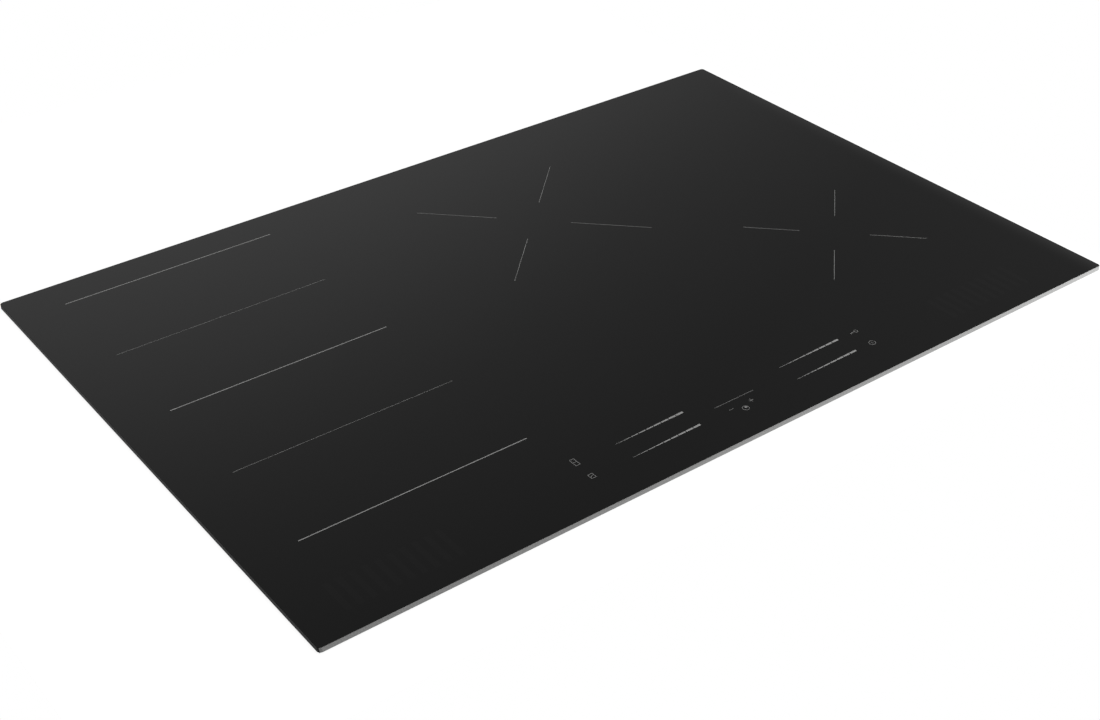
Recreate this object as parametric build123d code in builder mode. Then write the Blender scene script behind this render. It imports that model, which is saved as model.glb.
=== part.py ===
from build123d import *
import math
import os

# Drop-in induction hob with a black glass plate, in millimetres.
# The origin is the centre of the plate's outline on the worktop plane, where the seal rests.
# +X is to the cook's right, +Y to the back, +Z up.

# Glass plate
glass_width = 770.0
glass_depth = 510.0
glass_thickness = 4.0
glass_corner_radius = 3.0
facet_width = 0.25
facet_drop = 1.6
edge_arris = 0.15

# Seal under the rim, silicone bead and steel frame under the glass
seal_width = 8.0
seal_thickness = 1.0
seal_inset = 1.2
bead_width = 8.0
bead_thickness = 0.6
frame_flange = 12.0
frame_skirt = 16.0

# Casing in the worktop cut-out
glass_overhang = 10.0
cutout_clearance = 3.0
casing_drop = 50.0
casing_corner_radius = 3.0
sheet = 0.8
slip_gap = 0.1
ledge_drop = 26.0
ledge_width = 30.0

# Cooking zones: diameter of each coil, and where its centre lies on the glass
left_zone_from_edge = 138.4
left_zone_middle_y = 32.5
left_zone_pitch = 189.0
left_coil_gap = 13.0
middle_zone_x = 48.2
middle_zone_y = 101.0
middle_coil_diameter = 210.0
right_zone_from_edge = 140.1
right_zone_y = -77.5
right_coil_diameter = 160.0

# Coil stack, from the glass down
glass_air_gap = 0.3
mica_thickness = 0.5
litz_diameter = 3.2
winding_gap = 0.05
winding_flat_share = 0.6
carrier_web = 2.0
ferrite_thickness = 4.5
float_travel = 2.5
float_spare = 1.5

# Coil carrier
winding_inner_radius = 26.0
carrier_rim = 3.0
carrier_lugs = 3
lug_radius = 7.0
lug_reach = 4.0
ferrite_count = 8
ferrite_width = 13.0
ferrite_end_gap = 4.0
ferrite_side_gap = 0.15
pocket_rib = 1.2
window_width = 11.0
window_end_gap = 7.0
sensor_radius = 7.5
sensor_depth = 3.0
sensor_tip_radius = 5.0
sensor_gap = 0.3

# Guide screws and springs of the coils
guide_radius = 2.0
guide_head_radius = 3.6
guide_head_height = 1.2
guide_play = 0.1
spring_radius = 3.4
spring_wire = 0.8
spring_turns = 4
spring_end_gap = 0.05

# Coil plate and what carries it
plate_thickness = 1.5
plate_edge_gap = 2.0
lead_hole_radius = 16.0
standoff_radius = 4.0
standoff_pilot_radius = 2.5
standoff_spigot_gap = 0.05
thread_gap = 0.05
standoff_edge_gap = 13.0
front_standoff_gap = 24.0
inner_standoff_gap = 18.2
inner_standoff_y = -10.0
rear_standoff_left_x = -165.0
rear_standoff_right_x = 175.0
rear_standoff_from_wall = 24.0
front_standoff_from_wall = 18.0
ledge_standoff_from_wall = 42.0

# Casing screws
screw_radius = 1.75
screw_head_radius = 3.4
screw_head_height = 1.6
screw_head_taper = 12.0
screw_hole_gap = 0.25
wall_screw_grip = 4.0
wall_screw_drop = 9.0
wall_screws_front = 3
wall_screws_side = 2
front_screw_pitch = 300.0
side_screw_pitch = 330.0
plate_screw_grip = 7.0
cross_length = 3.8
cross_width = 0.9
cross_depth = 0.8

# Air inlets and outlets
slot_width = 4.0
slot_pitch = 9.8
outlet_slots = 10
outlet_slot_length = 30.0
outlet_from_left = 78.9
outlet_from_right = 116.1
outlet_from_front = 35.0
wall_slot_length = 15.0
wall_slot_rise = 11.0

# Fans
fan_scroll_radius = 58.0
fan_mouth_reach = 8.0
fan_wall = 1.5
fan_inlet_radius = 40.0
fan_grille_pitch = 8.0
fan_board_gap = 4.0
impeller_radius = 46.0
impeller_plate = 1.5
impeller_tip_gap = 2.0
blade_count = 24
blade_length = 13.0
blade_thickness = 1.2
blade_lean = 35.0
rotor_cup_radius = 15.0
rotor_cup_wall = 1.5
stator_radius = 12.5
stator_height = 11.0
stator_slot_count = 6
stator_slot_width = 2.0
stator_slot_depth = 4.0
fan_shaft_radius = 1.5
running_play = 0.05

# Power boards
board_thickness = 1.6
board_standoff = 5.0
board_width = 200.0
board_depth = 220.0
board_y = -60.0
board_margin = 11.0
board_hole_inset = 7.0
module_top_gap = 2.0
sink_width = 90.0
sink_depth = 170.0
sink_offset = 40.0
sink_base = 4.0
sink_fins = 14
sink_fin_thickness = 1.2
transistor_width = 16.0
transistor_depth = 21.0
transistor_height = 5.0
transistor_count = 4
transistor_pitch = 38.0
capacitor_width = 26.0
capacitor_depth = 42.0
capacitor_top_gap = 5.5
capacitor_count = 4
capacitor_pitch = 48.0
capacitor_offset = 62.0
capacitor_fillet = 1.5

# Mains filter
filter_width = 150.0
filter_depth = 105.0
filter_gap = 10.0
filter_from_rear = 90.0
choke_outer_radius = 22.0
choke_inner_radius = 11.0
choke_height = 15.0
choke_turns = 20
choke_wire_radius = 1.4
choke_x = -35.0

# Touch controls under the front of the glass
touch_x = 0.6
touch_from_front = 43.0
touch_width = 318.0
touch_depth = 40.0
touch_wall = 2.0
touch_board_thickness = 1.6
light_guide_gap = 1.6
light_guide_inset = 6.0
light_well_radius = 2.2
light_well_pitch = 8.0

# Mains connection
terminal_x = 85.0
terminal_width = 120.0
terminal_depth = 62.0
terminal_height = 25.0
terminal_wall = 2.0
terminal_rear_gap = 1.5
opening_rim = 2.0
cover_thickness = 2.0
cover_gap = 0.8
cover_recess = 0.2
cover_pin_radius = 1.0
cover_pin_rise = 5.5
cover_pin_inset = 6.5
cover_pin_hold = 0.02
cover_heel = 3.0
knuckle_radius = 3.0
knuckle_width = 9.0
knuckle_spread = 40.0
latch_width = 14.0
latch_height = 5.0
latch_thickness = 1.5
terminal_block_width = 76.0
terminal_block_depth = 20.0
terminal_block_height = 13.0
terminal_ways = 6
terminal_pitch = 12.0
terminal_screw_radius = 2.4
terminal_screw_length = 6.0
terminal_slot_width = 0.8
terminal_slot_depth = 1.0
terminal_well_radius = 2.6
terminal_well_depth = 8.0
gland_bore_radius = 6.5
gland_wall = 2.0
gland_flange_radius = 11.0
gland_flange = 2.0
gland_gap = 0.1
gland_tail = 1.0
gland_rise = 14.0
lead_radius = 1.6
lead_count = 3
lead_pitch = 5.0
lead_bend = 8.0
lead_hole_gap = 0.3
lead_rise = 17.0
lead_turn_y = 18.0
lead_run_in = 14.0

# Worktop clamps
clamp_from_wall = 15.0
clamp_y = 150.0
clamp_below_ledge = 2.5
clamp_thickness = 2.5
clamp_width = 18.0
clamp_reach = 37.0
clamp_lip = 1.5
clamp_lip_length = 6.0
clamp_screw_radius = 2.5
clamp_screw_play = 0.05
clamp_head_radius = 5.0
clamp_head_height = 3.5
clamp_head_gap = 0.05
clamp_nut_radius = 5.0
clamp_nut_height = 6.0

# Levels
glass_bottom = seal_thickness
glass_top = glass_bottom + glass_thickness
frame_top = glass_bottom - bead_thickness
tray_top = frame_top - sheet
floor_bottom = -casing_drop
floor_top = floor_bottom + sheet
ledge_bottom = -ledge_drop
ledge_top = ledge_bottom + sheet
mica_top = glass_bottom - glass_air_gap
mica_bottom = mica_top - mica_thickness
web_top = mica_bottom - winding_gap - litz_diameter
web_bottom = web_top - carrier_web
ferrite_bottom = web_bottom - ferrite_thickness
plate_top = ferrite_bottom - float_travel - float_spare
plate_bottom = plate_top - plate_thickness
module_top = plate_bottom - module_top_gap
board_bottom = floor_top + board_standoff
board_top = board_bottom + board_thickness
fan_top = module_top
gland_z = floor_bottom + gland_rise
lead_z = floor_bottom + lead_rise

# Widths and places that follow from the sizes above
casing_width = glass_width - 2 * (glass_overhang + cutout_clearance)
casing_depth = glass_depth - 2 * (glass_overhang + cutout_clearance)
inner_width = casing_width - 2 * sheet
inner_depth = casing_depth - 2 * sheet
floor_width = casing_width - 2 * ledge_width
floor_inner_width = floor_width - 2 * sheet
frame_width = inner_width - 2 * slip_gap
frame_depth = inner_depth - 2 * slip_gap
plate_width = frame_width - 2 * (sheet + plate_edge_gap)
plate_depth = frame_depth - 2 * (sheet + plate_edge_gap)
left_zone_x = -glass_width / 2 + left_zone_from_edge
left_coil_diameter = left_zone_pitch - left_coil_gap
right_zone_x = glass_width / 2 - right_zone_from_edge
board_x = floor_inner_width / 2 - board_margin - board_width / 2
inner_standoff_x = board_x - board_width / 2 - inner_standoff_gap
sink_x = board_x + sink_offset
fan_outlet_reach = fan_scroll_radius + fan_mouth_reach
fan_y = board_y + board_depth / 2 + fan_board_gap + fan_outlet_reach
filter_y = inner_depth / 2 - filter_from_rear
touch_y = -glass_depth / 2 + touch_from_front
front_standoff_x = touch_x + touch_width / 2 + front_standoff_gap
terminal_y = inner_depth / 2 - terminal_rear_gap - terminal_depth / 2
filter_x = terminal_x - terminal_width / 2 - filter_gap - filter_width / 2
outlet_places = (-glass_width / 2 + outlet_from_left, glass_width / 2 - outlet_from_right)
outlet_y = -glass_depth / 2 + outlet_from_front
clamp_x = casing_width / 2 - clamp_from_wall

coil_zones = {
    "left_rear": (left_zone_x, left_zone_middle_y + left_zone_pitch / 2, left_coil_diameter),
    "left_front": (left_zone_x, left_zone_middle_y - left_zone_pitch / 2, left_coil_diameter),
    "middle_rear": (middle_zone_x, middle_zone_y, middle_coil_diameter),
    "right_front": (right_zone_x, right_zone_y, right_coil_diameter),
}
fan_places = {"left": -sink_x, "right": sink_x}
clamp_places = {
    "left_front": (-clamp_x, -clamp_y),
    "left_rear": (-clamp_x, clamp_y),
    "right_front": (clamp_x, -clamp_y),
    "right_rear": (clamp_x, clamp_y),
}
floor_standoffs = [
    (-front_standoff_x, -inner_depth / 2 + front_standoff_from_wall),
    (front_standoff_x, -inner_depth / 2 + front_standoff_from_wall),
    (-inner_standoff_x, inner_standoff_y),
    (inner_standoff_x, inner_standoff_y),
    (rear_standoff_left_x, inner_depth / 2 - rear_standoff_from_wall),
    (rear_standoff_right_x, inner_depth / 2 - rear_standoff_from_wall),
]
ledge_standoff_x = casing_width / 2 - standoff_edge_gap
ledge_standoff_y = inner_depth / 2 - ledge_standoff_from_wall
ledge_standoffs = [
    (side * ledge_standoff_x, end * ledge_standoff_y) for side in (-1, 1) for end in (-1, 1)
]

os.makedirs("parts", exist_ok=True)


def save(piece, name):
    """Label a finished piece and write it as one STEP file."""
    piece.part.label = name
    export_step(piece.part, f"parts/{name}.step")


def lug_places(x, y, diameter):
    """Centres of the guide screw lugs around a coil, clear of the next coil in line."""
    ring = diameter / 2 + lug_reach
    turns = [2 * math.pi * lug / carrier_lugs for lug in range(carrier_lugs)]
    return [(x + ring * math.cos(turn), y + ring * math.sin(turn)) for turn in turns]


def along(count, pitch):
    """Places of a row of like features, centred on zero."""
    return [(index - (count - 1) / 2) * pitch for index in range(count)]


# Glass plate: flat ceramic glass, a broken edge all round and a wider ground facet at the front
front_y = -glass_depth / 2
cut_margin = 1.0
with BuildPart() as glass_plate:
    with BuildSketch(Plane.XY.offset(glass_bottom)):
        RectangleRounded(glass_width, glass_depth, glass_corner_radius)
    extrude(amount=glass_thickness)
    rims = glass_plate.faces().filter_by(Axis.Z).edges()
    chamfer(rims, edge_arris)
    with BuildSketch(Plane.YZ):
        with BuildLine():
            Polyline(
                (front_y, glass_top - facet_drop),
                (front_y + facet_width, glass_top),
                (front_y + facet_width, glass_top + cut_margin),
                (front_y - cut_margin, glass_top + cut_margin),
                (front_y - cut_margin, glass_top - facet_drop),
                close=True,
            )
        make_face()
    extrude(amount=glass_width, both=True, mode=Mode.SUBTRACT)
save(glass_plate, "glass_plate")

# Seal tape: foam ring between the rim of the glass and the worktop
seal_outer_width = glass_width - 2 * seal_inset
seal_outer_depth = glass_depth - 2 * seal_inset
with BuildPart() as seal_tape:
    with BuildSketch(Plane.XY):
        RectangleRounded(seal_outer_width, seal_outer_depth, glass_corner_radius)
        Rectangle(
            seal_outer_width - 2 * seal_width,
            seal_outer_depth - 2 * seal_width,
            mode=Mode.SUBTRACT,
        )
    extrude(amount=seal_thickness)
save(seal_tape, "seal_tape")

# Silicone bead that bonds the frame's flange to the glass
bead_outer_width = frame_width - (frame_flange - bead_width)
bead_outer_depth = frame_depth - (frame_flange - bead_width)
with BuildPart() as glass_bead:
    with BuildSketch(Plane.XY.offset(frame_top)):
        Rectangle(bead_outer_width, bead_outer_depth)
        Rectangle(
            bead_outer_width - 2 * bead_width,
            bead_outer_depth - 2 * bead_width,
            mode=Mode.SUBTRACT,
        )
    extrude(amount=bead_thickness)
save(glass_bead, "glass_bead")

# Places of the wall screws, each as a plane on the tray's outer face that looks outwards
wall_screw_z = frame_top - wall_screw_drop
wall_screw_planes = []
for end in (-1, 1):
    for x in along(wall_screws_front, front_screw_pitch):
        wall_screw_planes.append(
            Plane((x, end * casing_depth / 2, wall_screw_z), x_dir=(1, 0, 0), z_dir=(0, end, 0))
        )
    for y in along(wall_screws_side, side_screw_pitch):
        wall_screw_planes.append(
            Plane((end * casing_width / 2, y, wall_screw_z), x_dir=(0, 1, 0), z_dir=(end, 0, 0))
        )

# Glass frame: folded steel angle, its flange under the bead and its skirt inside the tray wall
frame_corner_radius = casing_corner_radius - sheet - slip_gap
with BuildPart() as glass_frame:
    with BuildSketch(Plane.XY.offset(frame_top - sheet)):
        RectangleRounded(frame_width, frame_depth, frame_corner_radius)
        Rectangle(
            frame_width - 2 * frame_flange,
            frame_depth - 2 * frame_flange,
            mode=Mode.SUBTRACT,
        )
    extrude(amount=sheet)
    with BuildSketch(Plane.XY.offset(frame_top - frame_skirt)):
        RectangleRounded(frame_width, frame_depth, frame_corner_radius)
        Rectangle(frame_width - 2 * sheet, frame_depth - 2 * sheet, mode=Mode.SUBTRACT)
    extrude(amount=frame_skirt)
    for plane in wall_screw_planes:
        with BuildSketch(plane):
            Circle(screw_radius + thread_gap)
        extrude(amount=-wall_screw_grip, mode=Mode.SUBTRACT)
save(glass_frame, "glass_frame")

# Base tray: galvanised sheet, stepped at both sides so that the clamps fit under the ledges
opening_width = terminal_width - 2 * (terminal_wall + opening_rim)
opening_depth = terminal_depth - 2 * (terminal_wall + opening_rim)
gland_hole_radius = gland_bore_radius + gland_wall + gland_gap
tray_rear_y = casing_depth / 2
with BuildPart() as base_tray:
    with BuildSketch(Plane.XY.offset(ledge_bottom)):
        RectangleRounded(casing_width, casing_depth, casing_corner_radius)
    extrude(amount=tray_top - ledge_bottom)
    with BuildSketch(Plane.XY.offset(floor_bottom)):
        RectangleRounded(floor_width, casing_depth, casing_corner_radius)
    extrude(amount=ledge_bottom - floor_bottom)
    with BuildSketch(Plane.XY.offset(ledge_top)):
        RectangleRounded(inner_width, inner_depth, casing_corner_radius - sheet)
    extrude(amount=tray_top - ledge_top, mode=Mode.SUBTRACT)
    with BuildSketch(Plane.XY.offset(floor_top)):
        RectangleRounded(floor_inner_width, inner_depth, casing_corner_radius - sheet)
    extrude(amount=ledge_top - floor_top, mode=Mode.SUBTRACT)
    for plane in wall_screw_planes:
        with BuildSketch(plane):
            Circle(screw_radius + screw_hole_gap)
        extrude(amount=-2 * sheet, mode=Mode.SUBTRACT)
    # Floor: standoff holes, terminal opening, fan inlets
    with BuildSketch(Plane.XY.offset(floor_bottom)):
        with Locations(floor_standoffs):
            Circle(standoff_pilot_radius + standoff_spigot_gap)
        with Locations((terminal_x, terminal_y)):
            Rectangle(opening_width, opening_depth)
        rows = int(fan_inlet_radius // fan_grille_pitch)
        for x in fan_places.values():
            for row in range(-rows + 1, rows):
                offset_y = row * fan_grille_pitch
                chord = 2 * math.sqrt(fan_inlet_radius**2 - offset_y**2)
                with Locations((x, fan_y + offset_y)):
                    SlotOverall(chord, slot_width)
    extrude(amount=sheet, mode=Mode.SUBTRACT)
    # Ledges: standoff holes and clamp screw holes
    with BuildSketch(Plane.XY.offset(ledge_bottom)):
        with Locations(ledge_standoffs):
            Circle(standoff_pilot_radius + standoff_spigot_gap)
    extrude(amount=sheet, mode=Mode.SUBTRACT)
    for x, y in clamp_places.values():
        with BuildSketch(Plane((x, y, ledge_top))):
            Circle(clamp_nut_radius)
        extrude(amount=clamp_nut_height)
        with BuildSketch(Plane((x, y, ledge_bottom))):
            Circle(clamp_screw_radius + thread_gap)
        extrude(amount=sheet + clamp_nut_height, mode=Mode.SUBTRACT)
    # Front wall: air outlet slots
    with BuildSketch(Plane.XZ.offset(casing_depth / 2 - sheet)):
        for outlet_x in outlet_places:
            for step in along(outlet_slots, slot_pitch):
                slot_x = outlet_x + step
                if abs(slot_x) < floor_inner_width / 2 - slot_width:
                    with Locations((slot_x, floor_bottom + wall_slot_rise)):
                        SlotOverall(wall_slot_length, slot_width, rotation=90)
    extrude(amount=sheet, mode=Mode.SUBTRACT)
    # Rear wall: hole for the cable gland
    with BuildSketch(Plane((terminal_x, tray_rear_y, gland_z), z_dir=(0, 1, 0))):
        Circle(gland_hole_radius)
    extrude(amount=-2 * sheet, mode=Mode.SUBTRACT)
save(base_tray, "base_tray")

# Standoffs clinched into the floor and the ledges, which carry the coil plate
with BuildPart() as plate_standoffs:
    for places, seat, outside in (
        (floor_standoffs, floor_top, floor_bottom),
        (ledge_standoffs, ledge_top, ledge_bottom),
    ):
        with BuildSketch(Plane.XY.offset(seat)):
            with Locations(places):
                RegularPolygon(standoff_radius, 6, major_radius=False)
        extrude(amount=plate_bottom - seat)
        with BuildSketch(Plane.XY.offset(outside)):
            with Locations(places):
                Circle(standoff_pilot_radius)
        extrude(amount=seat - outside)
        with BuildSketch(Plane.XY.offset(plate_bottom)):
            with Locations(places):
                Circle(screw_radius + thread_gap)
        extrude(amount=-plate_screw_grip, mode=Mode.SUBTRACT)
save(plate_standoffs, "plate_standoffs")

# Coil plate: aluminium sheet that carries the coils and the touch controls
guide_places = [place for zone in coil_zones.values() for place in lug_places(*zone)]
with BuildPart() as coil_plate:
    with BuildSketch(Plane.XY.offset(plate_bottom)):
        Rectangle(plate_width, plate_depth)
        with Locations([(x, y) for x, y, diameter in coil_zones.values()]):
            Circle(lead_hole_radius, mode=Mode.SUBTRACT)
        with Locations(guide_places):
            Circle(guide_radius + thread_gap, mode=Mode.SUBTRACT)
        with Locations(floor_standoffs + ledge_standoffs):
            Circle(screw_radius + screw_hole_gap, mode=Mode.SUBTRACT)
        for outlet_x in outlet_places:
            for step in along(outlet_slots, slot_pitch):
                with Locations((outlet_x + step, outlet_y)):
                    SlotOverall(outlet_slot_length, slot_width, rotation=90, mode=Mode.SUBTRACT)
    extrude(amount=plate_thickness)
save(coil_plate, "coil_plate")

# Cross recess of the screw heads
with BuildSketch() as drive_cross:
    Rectangle(cross_length, cross_width)
    Rectangle(cross_width, cross_length)

# Casing screws: pan heads through the tray wall into the frame, and through the coil plate
with BuildPart() as casing_screws:
    plate_screw_planes = [
        Plane((x, y, plate_top)) for x, y in floor_standoffs + ledge_standoffs
    ]
    for planes, grip in (
        (wall_screw_planes, wall_screw_grip),
        (plate_screw_planes, plate_thickness + plate_screw_grip - cut_margin),
    ):
        for plane in planes:
            with BuildSketch(plane):
                Circle(screw_head_radius)
            extrude(amount=screw_head_height, taper=screw_head_taper)
            with BuildSketch(plane):
                Circle(screw_radius)
            extrude(amount=-grip)
            with BuildSketch(plane.offset(screw_head_height)):
                add(drive_cross.sketch)
            extrude(amount=-cross_depth, mode=Mode.SUBTRACT)
save(casing_screws, "casing_screws")

# Guide screws: shouldered screws that hold each coil carrier down on its springs
with BuildPart() as coil_guide_screws:
    with BuildSketch(Plane.XY.offset(plate_bottom)):
        with Locations(guide_places):
            Circle(guide_radius)
    extrude(amount=web_top + guide_play - plate_bottom)
    with BuildSketch(Plane.XY.offset(web_top + guide_play)):
        with Locations(guide_places):
            Circle(guide_head_radius)
    extrude(amount=guide_head_height)
    with BuildSketch(Plane.XY.offset(web_top + guide_play + guide_head_height)):
        with Locations(guide_places):
            add(drive_cross.sketch)
    extrude(amount=-cross_depth, mode=Mode.SUBTRACT)
save(coil_guide_screws, "coil_guide_screws")


def make_coil(place, x, y, diameter):
    """One induction coil: carrier, winding, ferrite bars, mica sheet, sensor and springs."""
    rim_radius = diameter / 2
    winding_radius = rim_radius - carrier_rim - winding_gap
    hub_radius = winding_inner_radius - winding_gap
    bar_length = winding_radius - winding_inner_radius - ferrite_end_gap
    bar_middle = (winding_radius + winding_inner_radius) / 2
    rib_offset = ferrite_width / 2 + ferrite_side_gap + pocket_rib / 2
    half_step = 180 / ferrite_count
    lugs = lug_places(0, 0, diameter)

    with BuildPart() as carrier:
        with BuildSketch(Plane((x, y, web_bottom))):
            Circle(rim_radius)
            with Locations(lugs):
                Circle(lug_radius)
            with PolarLocations(bar_middle, ferrite_count, start_angle=half_step):
                SlotOverall(bar_length - window_end_gap, window_width, mode=Mode.SUBTRACT)
            with Locations(lugs):
                Circle(guide_radius + guide_play, mode=Mode.SUBTRACT)
        extrude(amount=carrier_web)
        with BuildSketch(Plane((x, y, web_top))):
            Circle(rim_radius)
            Circle(rim_radius - carrier_rim, mode=Mode.SUBTRACT)
            Circle(hub_radius)
            Circle(hub_radius - carrier_rim, mode=Mode.SUBTRACT)
        extrude(amount=mica_bottom - web_top)
        with BuildSketch(Plane((x, y, web_bottom))):
            with PolarLocations(bar_middle, ferrite_count):
                with Locations((0, rib_offset), (0, -rib_offset)):
                    Rectangle(bar_length, pocket_rib)
        extrude(amount=-ferrite_thickness)
        with BuildSketch(Plane((x, y, web_bottom))):
            Circle(sensor_radius + slip_gap)
        extrude(amount=carrier_web, mode=Mode.SUBTRACT)
    save(carrier, f"coil_carrier_{place}")

    turns = int((winding_radius - winding_inner_radius) / litz_diameter)
    flat_top = litz_diameter * winding_flat_share
    with BuildPart() as winding:
        with BuildSketch(Plane((x, y, web_top), x_dir=(1, 0, 0), z_dir=(0, -1, 0))):
            with Locations((winding_inner_radius, 0)):
                Rectangle(turns * litz_diameter, flat_top, align=Align.MIN)
            for turn in range(turns):
                centre = winding_inner_radius + (turn + 0.5) * litz_diameter
                with Locations((centre, litz_diameter / 2)):
                    Circle(litz_diameter / 2)
        revolve(axis=Axis((x, y, 0), (0, 0, 1)))
    save(winding, f"coil_winding_{place}")

    with BuildPart() as ferrites:
        with BuildSketch(Plane((x, y, web_bottom))):
            with PolarLocations(bar_middle, ferrite_count):
                Rectangle(bar_length, ferrite_width)
        extrude(amount=-ferrite_thickness)
    save(ferrites, f"coil_ferrites_{place}")

    with BuildPart() as mica:
        with BuildSketch(Plane((x, y, mica_bottom))):
            Circle(rim_radius)
            Circle(sensor_tip_radius + sensor_gap, mode=Mode.SUBTRACT)
        extrude(amount=mica_thickness)
    save(mica, f"coil_mica_{place}")

    with BuildPart() as sensor:
        with BuildSketch(Plane((x, y, web_bottom - sensor_depth))):
            Circle(sensor_radius)
        extrude(amount=mica_bottom - sensor_gap - web_bottom + sensor_depth)
        with BuildSketch(Plane((x, y, mica_bottom - sensor_gap))):
            Circle(sensor_tip_radius)
        extrude(amount=mica_top - mica_bottom + sensor_gap)
    save(sensor, f"coil_sensor_{place}")

    coil_height = web_bottom - plate_top - 2 * spring_end_gap - spring_wire
    coil_start = plate_top + spring_end_gap + spring_wire / 2
    with BuildPart() as springs:
        for lug_x, lug_y in lugs:
            with BuildLine() as path:
                Helix(
                    coil_height / spring_turns,
                    coil_height,
                    spring_radius,
                    center=(x + lug_x, y + lug_y, coil_start),
                )
            with BuildSketch(Plane(origin=path.line @ 0, z_dir=path.line % 0)):
                Circle(spring_wire / 2)
            sweep(path=path.line, is_frenet=True)
    save(springs, f"coil_springs_{place}")


for place, zone in coil_zones.items():
    make_coil(place, *zone)


def make_fan(side, x):
    """One radial fan: scroll housing open to the heat sink, and the bladed rotor with its shaft."""
    inside = 1 if x < 0 else -1
    mouth_x = inside * fan_scroll_radius / 2
    rotor_top = fan_top - fan_wall - impeller_tip_gap
    rotor_bottom = floor_top + fan_wall + impeller_tip_gap
    cup_floor = fan_top - fan_wall - stator_height - impeller_tip_gap

    with BuildPart() as housing:
        with BuildSketch(Plane((x, fan_y, floor_top))):
            Circle(fan_scroll_radius)
            with Locations((mouth_x, -fan_outlet_reach / 2)):
                Rectangle(fan_scroll_radius, fan_outlet_reach)
        extrude(amount=fan_top - floor_top)
        with BuildSketch(Plane((x, fan_y, floor_top + fan_wall))):
            Circle(fan_scroll_radius - fan_wall)
            with Locations((mouth_x, -fan_outlet_reach / 2)):
                Rectangle(fan_scroll_radius - 2 * fan_wall, fan_outlet_reach)
        extrude(amount=fan_top - floor_top - 2 * fan_wall, mode=Mode.SUBTRACT)
        with BuildSketch(Plane((x, fan_y, floor_top))):
            Circle(fan_inlet_radius)
        extrude(amount=fan_wall, mode=Mode.SUBTRACT)
    save(housing, f"fan_housing_{side}")

    with BuildPart() as impeller:
        with BuildSketch(Plane((x, fan_y, rotor_top - impeller_plate))):
            Circle(impeller_radius)
            Circle(rotor_cup_radius - rotor_cup_wall, mode=Mode.SUBTRACT)
        extrude(amount=impeller_plate)
        with BuildSketch(Plane((x, fan_y, cup_floor))):
            Circle(rotor_cup_radius)
            Circle(rotor_cup_radius - rotor_cup_wall, mode=Mode.SUBTRACT)
        extrude(amount=rotor_top - cup_floor)
        with BuildSketch(Plane((x, fan_y, cup_floor - rotor_cup_wall))):
            Circle(rotor_cup_radius)
        extrude(amount=rotor_cup_wall)
        with BuildSketch(Plane((x, fan_y, cup_floor))):
            Circle(fan_shaft_radius)
        extrude(amount=rotor_top - cup_floor)
        with BuildSketch(Plane((x, fan_y, rotor_bottom))):
            with PolarLocations(impeller_radius - blade_length / 2, blade_count):
                Rectangle(blade_length, blade_thickness, rotation=blade_lean)
        extrude(amount=rotor_top - rotor_bottom)
        with BuildSketch(Plane((x, fan_y, rotor_bottom))):
            Circle(impeller_radius)
            Circle(impeller_radius - blade_length / 2, mode=Mode.SUBTRACT)
        extrude(amount=impeller_plate)
    save(impeller, f"fan_impeller_{side}")


for side, x in fan_places.items():
    make_fan(side, x)

# Fan motors: slotted stators under the housing roof, each with the bearing bore for its shaft
with BuildPart() as fan_motors:
    for x in fan_places.values():
        with BuildSketch(Plane((x, fan_y, fan_top - fan_wall))):
            Circle(stator_radius)
            with PolarLocations(stator_radius - stator_slot_depth / 2, stator_slot_count):
                Rectangle(stator_slot_depth, stator_slot_width, mode=Mode.SUBTRACT)
            Circle(fan_shaft_radius + running_play, mode=Mode.SUBTRACT)
        extrude(amount=-stator_height)
save(fan_motors, "fan_motors")

# Boards: the two power boards and the mains filter board, on pillars from the floor
board_corner_x = board_width / 2 - board_hole_inset
board_corner_y = board_depth / 2 - board_hole_inset
filter_corner_x = filter_width / 2 - board_hole_inset
filter_corner_y = filter_depth / 2 - board_hole_inset
board_pillars = [
    (side * board_x + across * board_corner_x, board_y + end * board_corner_y)
    for side in (-1, 1)
    for across in (-1, 1)
    for end in (-1, 1)
] + [
    (filter_x + across * filter_corner_x, filter_y + end * filter_corner_y)
    for across in (-1, 1)
    for end in (-1, 1)
]
with BuildPart() as board_standoffs:
    with BuildSketch(Plane.XY.offset(floor_top)):
        with Locations(board_pillars):
            Circle(standoff_radius)
    extrude(amount=board_standoff)
    with BuildSketch(Plane.XY.offset(board_bottom)):
        with Locations(board_pillars):
            Circle(screw_radius)
    extrude(amount=board_thickness)
    with BuildSketch(Plane.XY.offset(board_top)):
        with Locations(board_pillars):
            Circle(screw_head_radius)
    extrude(amount=screw_head_height)
    with BuildSketch(Plane.XY.offset(board_top + screw_head_height)):
        with Locations(board_pillars):
            add(drive_cross.sketch)
    extrude(amount=-cross_depth, mode=Mode.SUBTRACT)
save(board_standoffs, "board_standoffs")

with BuildPart() as power_boards:
    for x in (-board_x, board_x):
        with BuildSketch(Plane((x, board_y, board_bottom))):
            Rectangle(board_width, board_depth)
            with GridLocations(2 * board_corner_x, 2 * board_corner_y, 2, 2):
                Circle(screw_radius + screw_hole_gap, mode=Mode.SUBTRACT)
        extrude(amount=board_thickness)
save(power_boards, "power_boards")

with BuildPart() as filter_board:
    with BuildSketch(Plane((filter_x, filter_y, board_bottom))):
        Rectangle(filter_width, filter_depth)
        with GridLocations(2 * filter_corner_x, 2 * filter_corner_y, 2, 2):
            Circle(screw_radius + screw_hole_gap, mode=Mode.SUBTRACT)
    extrude(amount=board_thickness)
save(filter_board, "filter_board")

# Power transistors lie flat on the boards, under the heat sinks
with BuildPart() as power_transistors:
    for x in fan_places.values():
        for y in along(transistor_count, transistor_pitch):
            with BuildSketch(Plane((x, board_y + y, board_top))):
                Rectangle(transistor_width, transistor_depth)
            extrude(amount=transistor_height)
save(power_transistors, "power_transistors")

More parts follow.
